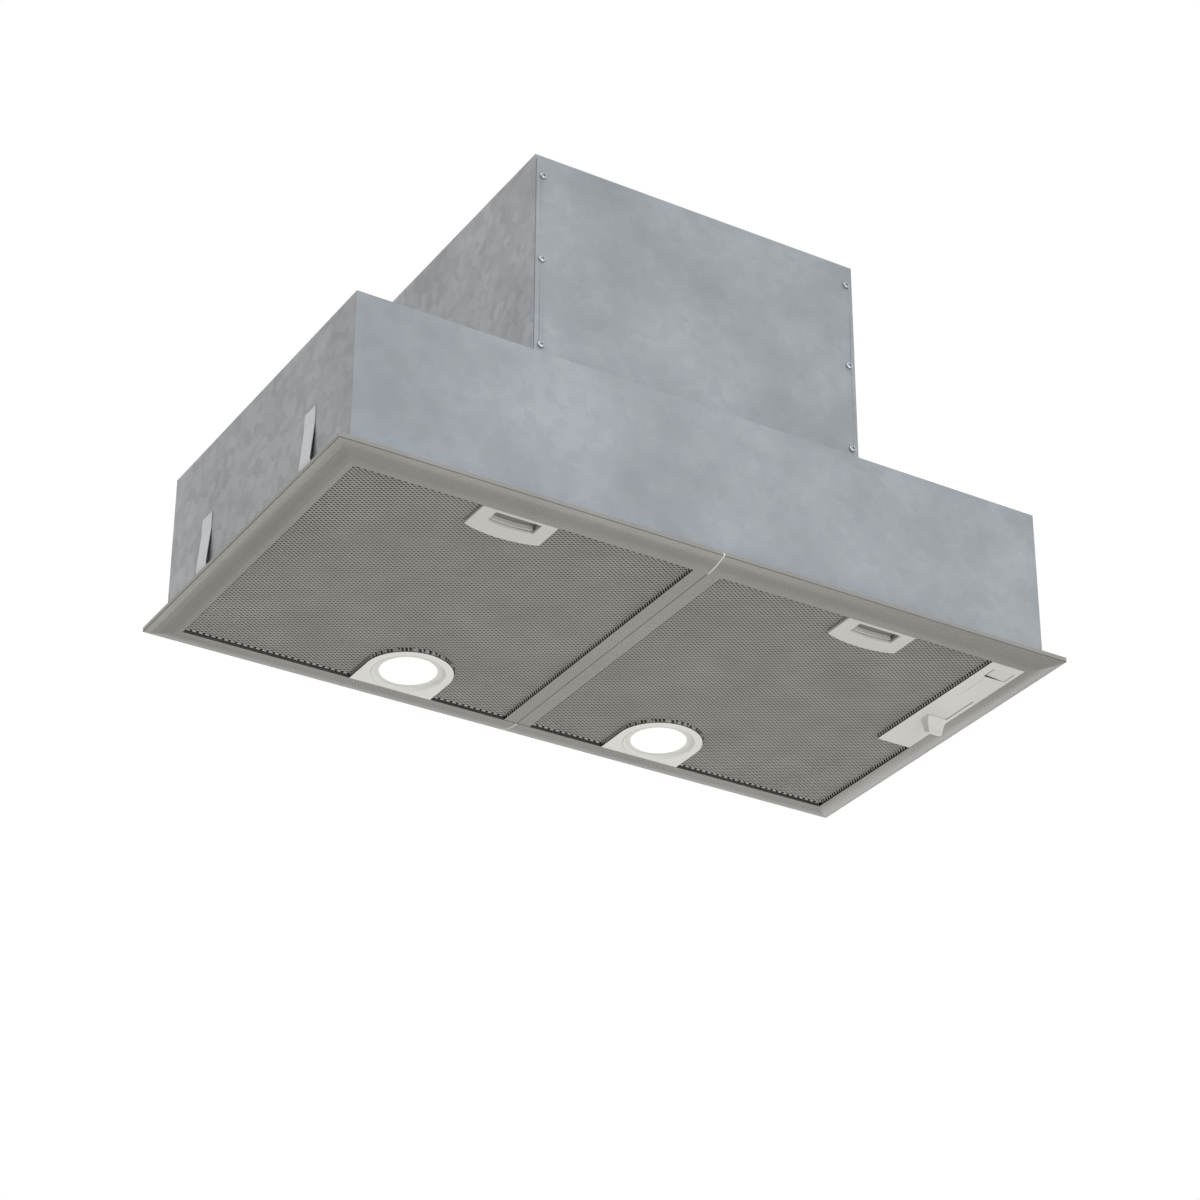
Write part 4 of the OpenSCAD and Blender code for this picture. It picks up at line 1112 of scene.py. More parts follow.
def coat(node: str, finish: Finish) -> None:
    """Gives a CAD node that keeps its own shape a finish.

    Args:
        node: The CAD node.
        finish: Its finish.
    """
    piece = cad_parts[node]
    piece.data.materials.clear()
    piece.data.materials.append(finish.material())
    LOG.info("%s: coated with %s", node, finish.label)


# Sub-assemblies


@dataclass(frozen=True)
class PlateTrim:
    """The silver plate: two mitred halves, the joiners between them and the middle bar."""

    # Half the opening's length and depth, and half the bar's width.
    opening: Pair = (338.5 * MM, 163.5 * MM)
    bar: float = 13.75 * MM
    # Where the rims' slanted joints, their feet and the step under the plate's edge lie.
    mitre: float = 175.0 * MM
    mitre_slack: float = 0.05 * MM
    foot: float = -4.5 * MM
    step: Pair = (-4.9 * MM, -4.1 * MM)
    inner: Pair = (364.1 * MM, 189.1 * MM)

    def build(self) -> None:
        """Dresses the plate's pieces."""
        # Painted shade on the openings' walls: near black on their ends and the bar's sides, dark
        # grey on their front and back.
        walls = (
            (PAINTED_GAP_SHADOW, on_wall(Axis.X, self.opening[0])),
            (PAINTED_SHADE_WALL, on_wall(Axis.Y, self.opening[1])),
        )
        sides = ((PAINTED_GAP_SHADOW, on_wall(Axis.X, self.bar)),)
        for side in Side:
            plate = dressed(f"trim_{side.value}", SILVER, "root", RIM, SILVER_EDGE, walls)
            self._crease(plate)
            dressed(f"centre_strip_{side.value}", SILVER, "root", STRIP, SILVER_EDGE, sides)
        for end in ("front", "back"):
            dressed(f"trim_joiner_{end}", PALE_PLASTIC, "root")

    def _crease(self, plate: Piece) -> None:
        """Shades each rim by its own curve, and paints shadow on the small step under the edge.

        Args:
            plate: One half of the plate, with its edges broken.
        """
        painted_shadow_slot = plate.data.materials.find(PAINTED_GAP_SHADOW.label)
        points = plate.data.vertices
        for line in plate.data.edges:
            ends = [points[i].co for i in line.vertices]
            on_mitre = all(self._on_mitre(end) for end in ends)
            on_foot = all(abs(end.z - self.foot) < WALL_SLACK for end in ends)
            line.use_edge_sharp = line.use_edge_sharp or on_mitre or on_foot
        # Painted shadow on the step under the edge.
        for face in plate.data.polygons:
            if self._on_step(face):
                face.material_index = painted_shadow_slot
        Bench.level(plate)

    def _on_mitre(self, point: Vector) -> bool:
        """Says whether a point lies on the slanted joint of two rims."""
        return abs(abs(point.x) - abs(point.y) - self.mitre) < self.mitre_slack

    def _on_step(self, face: Face) -> bool:
        """Says whether a face belongs to the small step where the edge meets the rim."""
        outside = abs(face.center.x) > self.inner[0] or abs(face.center.y) > self.inner[1]
        return outside and self.step[0] < face.center.z < self.step[1]


@dataclass(frozen=True)
class Split:
    """One straight cut through part of a sheet."""

    holds: Callable[[np.ndarray, np.ndarray], np.ndarray]
    point: Pair
    across: Pair


@dataclass(frozen=True)
class ExpandedSheet:
    """Expanded aluminium sheet: diamonds in staggered rows, drawn from one diamond."""

    side: Side
    # A diamond: half its length and width, its strand's width, its height, slant and thickness.
    half_long: float = 323.0 * MM / 104
    half_short: float = 323.9 * MM / 173
    strand: float = 0.45 * MM
    level: float = -6.42 * MM
    tilt: float = 0.27 * MM
    depth: float = 0.4 * MM
    # How far behind the back edge the rows start, and how far from a cut its diamonds lie.
    lead: float = 1.5
    span: float = 2.5
    # The outline: its four sides, and the room for lamp, handle box and control panel.
    near: float = 14.6 * MM
    far: float = 337.6 * MM
    front: float = -162.5 * MM
    back: float = 161.4 * MM
    lamp_room: float = 41.95 * MM
    handle: Pair = (182.525 * MM, 28.3 * MM)
    handle_back: float = -131.2 * MM
    panel: Pair = (301.5 * MM, 14.4 * MM)
    # The lamp's front half is cut in straight sectors, each a little over its half width.
    sectors: int = 26
    overlap: float = 0.52
    # The folded hem, and the ends at the hinge that swing past the plate.
    hem: float = 0.9 * MM
    hem_drop: float = 2.7 * MM
    swing_room: float = 3.5 * MM
    swing_drop: float = 0.85 * MM
    # Faces to a diamond, how near two corners merge, and what counts as no length.
    faces: int = 8
    merge: float = 0.01 * MM
    tiny: float = 1e-6

    @property
    def reach(self) -> float:
        """How far the diamonds that a cut can meet lie from it."""
        return self.span * self.half_long

    def build(self) -> Piece:
        """Makes the sheet.

        Returns:
            The sheet, whose ends run out as cut strands.
        """
        piece = self._diamond()
        columns = math.ceil((self.far - self.near) / (2 * self.half_long)) + 1
        rows = math.ceil((self.back - self.front) / (2 * self.half_short)) + 2
        Bench.array(piece, columns, (2 * self.half_long, 0, 0))
        Bench.array(piece, rows, (0, -2 * self.half_short, 0))
        self._cut_to_outline(piece)
        Bench.edit(piece, every=True)
        bpy.ops.mesh.remove_doubles(threshold=self.merge)
        Bench.done()
        if self.side is Side.LEFT:
            piece.scale = (-1, 1, 1)
            Bench.settle(piece)
            Bench.edit(piece, every=True)
            bpy.ops.mesh.flip_normals()
            Bench.done()
        return piece

    def _diamond(self) -> Piece:
        """One diamond and its neighbour in the next row, facing down.

        Returns:
            The two diamonds at the sheet's near back corner.
        """
        piece = Bench.primitive(
            bpy.ops.mesh.primitive_circle_add, f"filter_mesh_{self.side.value}_strands",
            vertices=4, radius=1.0, fill_type="NGON",
        )
        Bench.edit(piece, every=True)
        bpy.ops.transform.resize(value=(self.half_long, self.half_short, 1.0))
        bpy.ops.mesh.flip_normals()
        bpy.ops.mesh.inset(thickness=self.strand, depth=0.0, use_even_offset=True)
        bpy.ops.mesh.extrude_region_move(TRANSFORM_OT_translate={"value": (0.0, 0.0, self.depth)})
        bpy.ops.mesh.delete(type="FACE")
        for way in (-1, 1):
            Bench.pick_vertices(piece, lambda co: self._in_corner(co, way))
            bpy.ops.transform.translate(value=(0, 0, way * self.tilt))
        bpy.ops.mesh.select_all(action="SELECT")
        corner = (self.near, self.back + self.lead * self.half_short, self.level)
        bpy.ops.transform.translate(value=corner)
        bpy.ops.mesh.duplicate_move(
            TRANSFORM_OT_translate={"value": (self.half_long, -self.half_short, 0.0)}
        )
        Bench.done()
        return piece

    def _in_corner(self, co: Vector, way: int) -> bool:
        """Says whether a vertex is the opening's front or back corner, on the lower face."""
        in_line = abs(co.z) < self.tiny and abs(co.x) < self.tiny
        return in_line and 0 < way * co.y < self.half_short - self.strand / 2

    def _room(self, x: np.ndarray, y: np.ndarray) -> np.ndarray:
        """Says how far places lie inside the sheet's outline.

        Args:
            x: Places across the hood, on the right side.
            y: Places from front to back.

        Returns:
            The least distance from rims, lamp, handle box and panel, below zero outside.
        """
        room = np.minimum.reduce([x - self.near, self.far - x, y - self.front, self.back - y])
        lamp = np.hypot(x - LAMP_CENTRE[0], np.minimum(y - LAMP_CENTRE[1], 0.0)) - self.lamp_room
        hand = np.maximum(np.abs(x - self.handle[0]) - self.handle[1], y - self.handle_back)
        room = np.minimum(room, np.minimum(lamp, hand))
        if self.side is Side.RIGHT:
            room = np.minimum(room, np.maximum(self.panel[0] - x, y - self.panel[1]))
        return room

    def _in_hem(self, co: Vector) -> bool:
        """Says whether a vertex lies in the outer half of the folded hem."""
        return float(self._room(np.array(co.x), np.array(co.y))) < self.hem / 2

    def _splits(self, inset: float) -> list[Split]:
        """Lists the straight cuts along the sheet's outline.

        Args:
            inset: How far inside the outline the cuts run.

        Returns:
            The cuts along rims, handle box, panel and lamp.
        """
        across, along = (1.0, 0.0), (0.0, 1.0)
        middle, half, rear = self.handle[0], self.handle[1] + inset, self.handle_back + inset
        edge, end = self.panel[0] - inset, self.panel[1] + inset
        lamp = self.lamp_room + inset

        def everywhere(x: np.ndarray, y: np.ndarray) -> np.ndarray:
            """True for the whole sheet, which lies right of the middle."""
            return x > 0

        def by_handle(x: np.ndarray, y: np.ndarray) -> np.ndarray:
            """True for the faces beside the handle box."""
            return y < rear + self.reach

        def by_lamp(x: np.ndarray, y: np.ndarray) -> np.ndarray:
            """True for the faces beside the lamp's straight sides."""
            return y > LAMP_CENTRE[1] - self.reach

        lines = (self.near + inset, self.far - inset)
        cuts = [Split(everywhere, (at, 0.0), across) for at in lines]
        lines = (self.front + inset, self.back - inset)
        cuts += [Split(everywhere, (0.0, at), along) for at in lines]
        cuts += [Split(by_handle, (middle + way * half, 0.0), across) for way in (-1, 1)]
        behind = Split(lambda x, y: np.abs(x - middle) < half + self.reach, (0.0, rear), along)
        cuts.append(behind)
        if self.side is Side.RIGHT:
            cuts.append(Split(lambda x, y: y < end + self.reach, (edge, 0.0), across))
            cuts.append(Split(lambda x, y: x > edge - self.reach, (0.0, end), along))
        cuts += [Split(by_lamp, (LAMP_CENTRE[0] + way * lamp, 0.0), across) for way in (-1, 1)]
        return cuts + [self._sector(index, lamp) for index in range(self.sectors)]

    def _sector(self, index: int, radius: float) -> Split:
        """One of the short cuts round the lamp's front half.

        Args:
            index: The cut's number from the left.
            radius: How far the cut lies from the lamp's centre.

        Returns:
            The cut.
        """
        width = math.pi / self.sectors
        turn = -math.pi + (index + 0.5) * width
        way = (math.cos(turn), math.sin(turn))
        at = (LAMP_CENTRE[0] + radius * way[0], LAMP_CENTRE[1] + radius * way[1])

        def holds(x: np.ndarray, y: np.ndarray) -> np.ndarray:
            """True for the faces of this sector, near the lamp's outline.

            Args:
                x: Places across the hood.
                y: Places from front to back.

            Returns:
                A truth for each face.
            """
            dx, dy = x - LAMP_CENTRE[0], y - LAMP_CENTRE[1]
            near = np.abs(np.hypot(dx, dy) - radius) < self.reach
            return near & (np.abs(np.arctan2(dy, dx) - turn) <= width * self.overlap)

        return Split(holds, at, way)

    @staticmethod
    def _centres(piece: Piece) -> tuple[np.ndarray, np.ndarray]:
        """Gives the places of a piece's face centres, across and along.

        Args:
            piece: The piece.

        Returns:
            The places across the hood, and those from front to back.
        """
        flat = np.empty(len(piece.data.polygons) * 3)
        piece.data.polygons.foreach_get("center", flat)
        return flat[0::3], flat[1::3]

    @staticmethod
    def _select(piece: Piece, which: np.ndarray) -> None:
        """Selects faces by a list of truths and opens the piece in edit mode.

        Args:
            piece: The piece.
            which: A truth for each face.
        """
        Bench.edit(piece)
        bpy.ops.mesh.select_mode(type="FACE")
        Bench.done()
        piece.data.polygons.foreach_set("select", which)
        bpy.ops.object.mode_set(mode="EDIT")

    def _cut_to_outline(self, piece: Piece) -> None:
        """Drops the diamonds outside the outline, cuts those on it and folds their ends down.

        Args:
            piece: The full sheet, with the same number of faces in each diamond.
        """
        centres = self._centres(piece)
        x, y = (part.reshape(-1, self.faces).mean(axis=1) for part in centres)
        shifts = ((0, 0), (1, 0), (-1, 0), (0, 1), (0, -1))
        rooms = [self._room(x + i * self.half_long, y + j * self.half_short) for i, j in shifts]
        inside = np.sum([room > 0 for room in rooms], axis=0) > 0
        whole = np.sum([room > self.hem for room in rooms], axis=0) == len(shifts)
        self._select(piece, np.repeat(~inside, self.faces))
        bpy.ops.mesh.delete(type="FACE")
        Bench.done()
        self._select(piece, np.repeat(~whole[inside], self.faces))
        bpy.ops.mesh.separate(type="SELECTED")
        Bench.done()
        rest = next(o for o in bpy.context.selected_objects if o is not piece)
        for cut in self._splits(0.0) + self._splits(self.hem):
            self._select(rest, cut.holds(*self._centres(rest)))
            point, normal = (*cut.point, self.level), (*cut.across, 0.0)
            bpy.ops.mesh.bisect(plane_co=point, plane_no=normal, threshold=CUT_SLACK)
            Bench.done()
        self._select(rest, self._room(*self._centres(rest)) < 0)
        bpy.ops.mesh.delete(type="FACE")
        self._fold(rest)
        Bench.join([piece, rest], piece.name)

    def _fold(self, rest: Piece) -> None:
        """Folds the strand ends down, less so at the back, where they swing past the plate.

        Args:
            rest: The cut diamonds, open in edit mode.
        """
        hinge_side = self.back - self.swing_room
        for drop, at_back in ((self.hem_drop, False), (self.swing_drop, True)):
            Bench.pick_vertices(
                rest, lambda co: self._in_hem(co) and (co.y > hinge_side) == at_back
            )
            bpy.ops.transform.translate(value=(0, 0, -drop))
        Bench.done()


@dataclass(frozen=True)
class CoilSpring:
    """A small pressure spring that lies along Y, wound from round wire."""

    node: str
    wire: float = 0.22 * MM
    wire_sides: int = 8
    turns: int = 6
    steps: int = 18
    sharp: float = math.radians(60)

    def build(self) -> Piece:
        """Winds the spring where the CAD node is.

        Returns:
            The spring.
        """
        low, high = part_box(self.node)
        radius = (high.x - low.x) / 2 - self.wire
        length = high.y - low.y - 2 * self.wire
        piece = Bench.primitive(
            bpy.ops.mesh.primitive_circle_add, f"{self.node}_coil",
            vertices=self.wire_sides, radius=self.wire, fill_type="NOTHING",
            rotation=(math.pi / 2, 0, 0), location=(radius, 0, 0),
        )
        Bench.settle(piece)
        Bench.apply(
            piece, "SCREW", axis="Z", screw_offset=length / self.turns, iterations=self.turns,
            steps=self.steps, render_steps=self.steps,
            use_merge_vertices=False, use_normal_calculate=True,
        )
        Bench.cap(piece, self.wire_sides)
        piece.rotation_euler = (-math.pi / 2, 0, 0)
        piece.location = ((low.x + high.x) / 2, low.y + self.wire, (low.z + high.z) / 2)
        Bench.settle(piece)
        piece.data.materials.append(PLATED.material())
        Bench.smooth(piece, self.sharp)
        return piece


@dataclass(frozen=True)
class GreaseFilter:
    """One hinged filter: strands, channel frame, grease layers, handle, latch and its spring."""

    side: Side
    spring_left: float = 0.43
    roof: float = -2.9 * MM
    roof_slack: float = 0.1 * MM
    pull_foot: float = -6.2 * MM
    pull_reach: float = 0.26 * MM

    def build(self) -> None:
        """Builds and dresses the filter's pieces."""
        name = self.side.value
        body = f"filter_{name}"
        sheet = ExpandedSheet(self.side).build()
        sheet.data.materials.append(STRAND_METAL.material())
        place(sheet, STRAND_METAL, body, f"filter_mesh_{name}")
        # Painted shade: the channel frame is coloured near black.
        coat(f"filter_frame_{name}", PAINTED_SHADE_CHANNEL)
        # Painted shade: the layers behind the strands are coloured near black.
        coat(f"filter_layers_{name}", PAINTED_SHADE_LAYERS)
        coat(f"filter_pins_{name}", PLATED)
        dressed(f"handle_{name}", HANDLE_GREY, body, SOFT)
        # Painted shade: the roof of the finger recess is coloured darker grey than the latch.
        roof = ((PAINTED_SHADE_ROOF, self._on_roof),)
        latch = dressed(f"latch_{name}", PALE_PLASTIC, f"latch_{name}", FINE_RING, patches=roof)
        Bench.edit(latch)
        Bench.pick_vertices(latch, lambda co: co.z < self.pull_foot)
        bpy.ops.transform.translate(value=(0, 0, -self.pull_reach))
        Bench.done()
        spring = CoilSpring(f"latch_spring_{name}").build()
        place(spring, PLATED, body, f"latch_spring_{name}")
        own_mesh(spring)

    def _on_roof(self, face: Face) -> bool:
        """Says whether a face of the latch belongs to the roof of the finger recess."""
        return face.normal.z < -SQUARE_ON and abs(face.center.z - self.roof) < self.roof_slack


@dataclass(frozen=True)
class Lamp:
    """One lamp: housing, stepped ring, frosted disc and the board above it."""

    side: Side
    radius: float = 41.4 * MM
    slack: float = 0.3 * MM
    upright: float = 0.3

    def build(self) -> None:
        """Dresses the lamp's pieces."""
        name = self.side.value
        # Painted shade: the housing's outer wall, in the gap at the filter, is coloured dark grey.
        skirt = ((PAINTED_SHADE_WALL, self._on_skirt),)
        dressed(f"lamp_housing_{name}", LAMP_PLASTIC, "root", SOFT, patches=skirt)
        dressed(f"lamp_bezel_{name}", WHITE_PLASTIC, "root")
        dressed(f"lamp_lens_{name}", GLOW, "root", SOFT)
        coat(f"lamp_module_{name}", COOLING)

    def _on_skirt(self, face: Face) -> bool:
        """Says whether a face stands in the housing's outer wall, in the gap at the filter.

        Args:
            face: A face of the housing.

        Returns:
            Whether it does.
        """
        across = face.center.x - self.side.sign * LAMP_CENTRE[0]
        reach = math.hypot(across, min(face.center.y - LAMP_CENTRE[1], 0.0))
        return abs(face.normal.z) < self.upright and reach > self.radius - self.slack


@dataclass(frozen=True)
class ControlCorner:
    """The panel at the front right corner, with the light rocker and the fan slider."""

    # The ribs: their wire, spacing and number, and how far they stand past the knob's side.
    rib_radius: float = 0.24 * MM
    rib_sides: int = 8
    rib_pitch: float = 1.3 * MM
    rib_count: int = 13
    rib_first: float = 315.2 * MM
    rib_inset: float = 0.5 * MM
    rib_sharp: float = math.radians(60)
    # The arc that a rib follows, with its top and its centre in Y and Z.
    arc_top: Pair = (-51.0 * MM, -10.65 * MM)
    arc_centre: Pair = (-67.8 * MM, -24.86 * MM)
    arc_angle: float = math.radians(39.3)
    arc_steps: int = 9
    # The knob's slanted sides, at the upper and the lower of two heights.
    left_edge: Pair = (313.5 * MM, 317.5 * MM)
    right_edge: Pair = (334.0 * MM, 331.6 * MM)
    edge_z: Pair = (-9.85 * MM, -24.5 * MM)
    # The panel's and the rocker window's walls, and the rocker's end, which carry painted shadow.
    walls_x: Point = (302.1 * MM, 311.7 * MM, 334.4 * MM)
    walls_y: Point = (13.8 * MM, 152.8 * MM, 137.5 * MM)
    rocker_end: float = -0.8

    def build(self) -> None:
        """Dresses the panel and builds the ribbed knob."""
        # Painted shadow on the walls of the panel and the rocker window.
        walls = [(PAINTED_GAP_SHADOW, on_wall(Axis.X, at)) for at in self.walls_x]
        walls += [(PAINTED_GAP_SHADOW, on_wall(Axis.Y, at)) for at in self.walls_y]
        dressed("control_panel", PALE_PLASTIC, "root", patches=walls)
        # Painted shadow on the rocker's end.
        end = ((PAINTED_GAP_SHADOW, lambda face: face.normal.x < self.rocker_end),)
        dressed("light_rocker", PALE_PLASTIC, "light_rocker", patches=end)
        coat("rocker_switch", BLACK_PLASTIC)
        coat("slider_switch", BLACK_PLASTIC)
        knob = Bench.from_node("fan_slider", "fan_slider_finished")
        knob.data.materials.append(PALE_PLASTIC.material())
        KNOB.work(knob)
        ribs = self._ribs()
        ribs.data.materials.append(PALE_PLASTIC.material())
        knob = Bench.join([knob, ribs], "fan_slider_ribbed")
        place(knob, PALE_PLASTIC, "fan_slider", "fan_slider")

    def _ribs(self) -> Piece:
        """The fine ribs down the knob's hollow front, cut off at its slanted sides.

        Returns:
            The ribs.
        """
        piece = Bench.primitive(
            bpy.ops.mesh.primitive_circle_add, "knob_ribs",
            vertices=self.rib_sides, radius=self.rib_radius, fill_type="NOTHING",
            location=(self.rib_first, *self.arc_top),
        )
        Bench.settle(piece)
        Bench.edit(piece, every=True)
        bpy.ops.mesh.spin(
            steps=self.arc_steps, angle=self.arc_angle,
            center=(self.rib_first, *self.arc_centre), axis=Axis.X.value,
        )
        Bench.done()
        Bench.cap(piece, self.rib_sides)
        Bench.array(piece, self.rib_count, (self.rib_pitch, 0, 0))
        drop = self.edge_z[0] - self.edge_z[1]
        for edge, way in ((self.left_edge, -1), (self.right_edge, 1)):
            lean = (edge[0] - edge[1]) / drop
            Bench.edit(piece, every=True)
            bpy.ops.mesh.bisect(
                plane_co=(edge[0] - way * self.rib_inset, 0, self.edge_z[0]),
                plane_no=(way, 0, -way * lean),
                use_fill=True, clear_outer=True, threshold=CUT_SLACK,
            )
            Bench.done()
        Bench.smooth(piece, self.rib_sharp)
        return piece


@dataclass(frozen=True)
class SheetScrews:
    """The pan-head screws of the sheet body, each with a cross recess and a thread."""

    # The head, with its rounding.
    head_radius: float = 3.5 * MM
    head_height: float = 2.2 * MM
    head_sides: int = 24
    head_round: float = 1.3 * MM
    round_steps: int = 4
    # The shank, with its point.
    shank: float = 1.18 * MM
    shank_sides: int = 12
    shank_past_thread: float = 1.8 * MM
    shank_in_head: float = 0.3 * MM
    tip_starts: float = 0.9
    tip_size: float = 0.4
    # The thread: its outer radius, its section and its turns.
    thread: float = 1.48 * MM
    thread_size: float = 0.42 * MM
    thread_sides: int = 3
    thread_steps: int = 12
    thread_drop: float = 0.6 * MM
    pitch: float = 1.3 * MM
    turns: int = 4
    # The cross recess, and the reach that only the head of a CAD screw has.
    recess: Pair = (3.4 * MM, 0.8 * MM)
    recess_depth: float = 1.1 * MM
    only_head: float = 2.5 * MM
    sharp: float = math.radians(35)

    def build(self) -> None:
        """Sets a screw wherever the CAD node has one."""
        model = self._screw()
        cad = Bench.from_node("sheet_screws", "screw_places")
        Bench.edit(cad, every=True)
        bpy.ops.mesh.separate(type="LOOSE")
        Bench.done()
        solids = [o for o in bpy.context.selected_objects if o.type == "MESH"]
        made = []
        for index, solid in enumerate(solids):
            spot, turn = self._seat(solid)
            copy = Bench.twin(model, f"sheet_screw_{index}")
            copy.matrix_world = Matrix.Translation(spot) @ turn
            Bench.settle(copy)
            made.append(copy)
        for spent in (*solids, model):
            bpy.data.objects.remove(spent)
        screws = Bench.join(made, "sheet_screws_set")
        place(screws, PLATED, "root", "sheet_screws")

    def _seat(self, solid: Piece) -> tuple[Vector, Matrix]:
        """Finds where a screw's head sits and which way it points.

        Args:
            solid: One screw of the CAD node.

        Returns:
            The point under the head, and the turn that brings +Z to the head's side.
        """
        points = np.array([tuple(v.co) for v in solid.data.vertices])
        low, high = points.min(axis=0), points.max(axis=0)
        axis = int(np.argmax(high - low))
        others = [i for i in range(3) if i != axis]
        middle = (low + high) / 2
        reach = np.linalg.norm(points[:, others] - middle[others], axis=1)
        head = points[reach > self.only_head][:, axis].mean()
        head_side = 1 if head > middle[axis] else -1
        way = Vector([head_side if i == axis else 0.0 for i in range(3)])
        spot = Vector(middle)
        spot[axis] = (high[axis] if head_side > 0 else low[axis]) - head_side * self.head_height
        return spot, way.to_track_quat("Z", "Y").to_matrix().to_4x4()

    def _screw(self) -> Piece:
        """Makes one screw, head up, with the seat of its head at the origin.

        Returns:
            The screw.
        """
        screw = Bench.join([self._head(), self._shank(), self._thread()], "sheet_screw")
        screw.data.materials.clear()
        screw.data.materials.append(PLATED.material())
        Bench.smooth(screw, self.sharp)
        return screw

    def _head(self) -> Piece:
        """Turns the round head and cuts its cross recess.

        Returns:
            The head.
        """
        head = Bench.primitive(
            bpy.ops.mesh.primitive_cylinder_add, "screw_head",
            vertices=self.head_sides, radius=self.head_radius, depth=self.head_height,
            location=(0, 0, self.head_height / 2),
        )
        Bench.settle(head)
        Bench.edit(head)
        Bench.pick_faces(head, lambda face: face.normal.z > SQUARE_ON)
        bpy.ops.mesh.bevel(offset=self.head_round, segments=self.round_steps, affect="EDGES")
        Bench.done()
        for turn in (0, 1):
            bar = Bench.primitive(
                bpy.ops.mesh.primitive_cube_add, f"recess_{turn}", size=1.0,
                location=(0, 0, self.head_height), rotation=(0, 0, turn * math.pi / 2),
                scale=(*self.recess, 2 * self.recess_depth),
            )
            Bench.settle(bar)
            Bench.apply(head, "BOOLEAN", operation="DIFFERENCE", object=bar, solver="EXACT")
            bpy.data.objects.remove(bar)
        return head

    def _shank(self) -> Piece:
        """Turns the shank with its point.

        Returns:
            The shank.
        """
        length = self.pitch * self.turns + self.shank_past_thread
        shank = Bench.primitive(
            bpy.ops.mesh.primitive_cylinder_add, "screw_shank",
            vertices=self.shank_sides, radius=self.shank, depth=length,
            location=(0, 0, -length / 2 + self.shank_in_head),
        )
        Bench.settle(shank)
        Bench.edit(shank)
        tip = -self.tip_starts * length + self.shank_in_head
        Bench.pick_vertices(shank, lambda co: co.z < tip)
        bpy.ops.transform.resize(value=(self.tip_size, self.tip_size, 1.0))
        Bench.done()
        return shank

    def _thread(self) -> Piece:
        """Winds the thread from a three-cornered section.

        Returns:
            The thread, just under the head.
        """
        section = Bench.primitive(
            bpy.ops.mesh.primitive_circle_add, "screw_thread",
            vertices=self.thread_sides, radius=self.thread_size, fill_type="NOTHING",
            rotation=(math.pi / 2, math.pi / 2, 0), location=(self.thread - self.thread_size, 0, 0),
        )
        Bench.settle(section)
        Bench.apply(
            section, "SCREW", axis="Z", screw_offset=-self.pitch, iterations=self.turns,
            steps=self.thread_steps, render_steps=self.thread_steps, use_merge_vertices=False,
        )
        Bench.edit(section, every=True)
        bpy.ops.transform.translate(value=(0, 0, -self.thread_drop))
        Bench.done()
        Bench.cap(section, self.thread_sides)
        return section


@dataclass(frozen=True)
class SteelBody:
    """The sheet body: lower box, middle channel, side clips, upper box and its cover."""

    def build(self) -> None:
        """Dresses the body's sheets and sets the screws."""
        for node in ("canopy", "tower_shell", "tower_cover"):
            dressed(node, ZINC, "root", SHEET, ZINC_EDGE)
        dressed("centre_beam", ZINC, "root", FINE, ZINC_EDGE)
        coat("side_clips", PLATED)
        coat("filter_hooks", ZINC_EDGE)
        SheetScrews().build()


@dataclass(frozen=True)
class Blower:
    """The scroll casing, the impeller and the motor on its bracket."""

    finishes: Mapping[str, Finish] = field(
        default_factory=lambda: {
            "scroll_left": BLACK_PLASTIC,
            "scroll_right": BLACK_PLASTIC,
            "inlet_rings": BLACK_PLASTIC,
            "impeller": BLACK_PLASTIC,
            "motor_housing": ZINC,
            "motor_stator": CORE,
            "motor_rotor": CORE,
            "motor_shaft": PLATED,
            "motor_bushes": BUSH,
            "motor_bracket": ZINC,
            "motor_grommets": RUBBER,
        }
    )

    def build(self) -> None:
        """Coats the blower's pieces."""
        for node, finish in self.finishes.items():
            coat(node, finish)


@dataclass(frozen=True)
class DuctTop:
    """The duct collar on the roof, with its two non-return flaps."""

    def build(self) -> None:
        """Dresses the collar and the flaps."""
        dressed("duct_collar", BLACK_PLASTIC, "root", SOFT)
        coat("flap_pin", PLATED)
        for end in ("front", "back"):
            dressed(f"flap_{end}", PALE_PLASTIC, f"flap_{end}")


@dataclass(frozen=True)
class MainsBox:
    """The terminal box beside the upper box, with its lid and cable gland."""

    def build(self) -> None:
        """Dresses the box and coats what it holds."""
        dressed("terminal_box", PALE_PLASTIC, "root", SOFT)
        dressed("terminal_box_lid", PALE_PLASTIC, "root", SOFT)
        coat("cable_gland", BLACK_PLASTIC)
        coat("terminal_block", WHITE_PLASTIC)
        coat("capacitor", WHITE_PLASTIC)


# Stage


@dataclass(frozen=True)
class SoftLamp:
    """A flat studio lamp: name, place, width and height, watts, and colour."""

    name: str
    spot: Point
    size: Pair
    power: float
    colour: Colour = WHITE

    def hang(self, target: Point) -> None:
        """Hangs the lamp and turns it to a point.

        Args:
            target: The point.
        """
        data = bpy.data.lights.new(self.name, "AREA")
        data.shape = "RECTANGLE"
        data.size, data.size_y = self.size
        data.energy = self.power
        data.color = self.colour
        lamp = bpy.data.objects.new(self.name, data)
        way = Vector(target) - Vector(self.spot)
        lamp.location = self.spot
        lamp.rotation_euler = way.to_track_quat("-Z", "Y").to_euler()
        lamp.visible_camera = False
        bpy.context.scene.collection.objects.link(lamp)


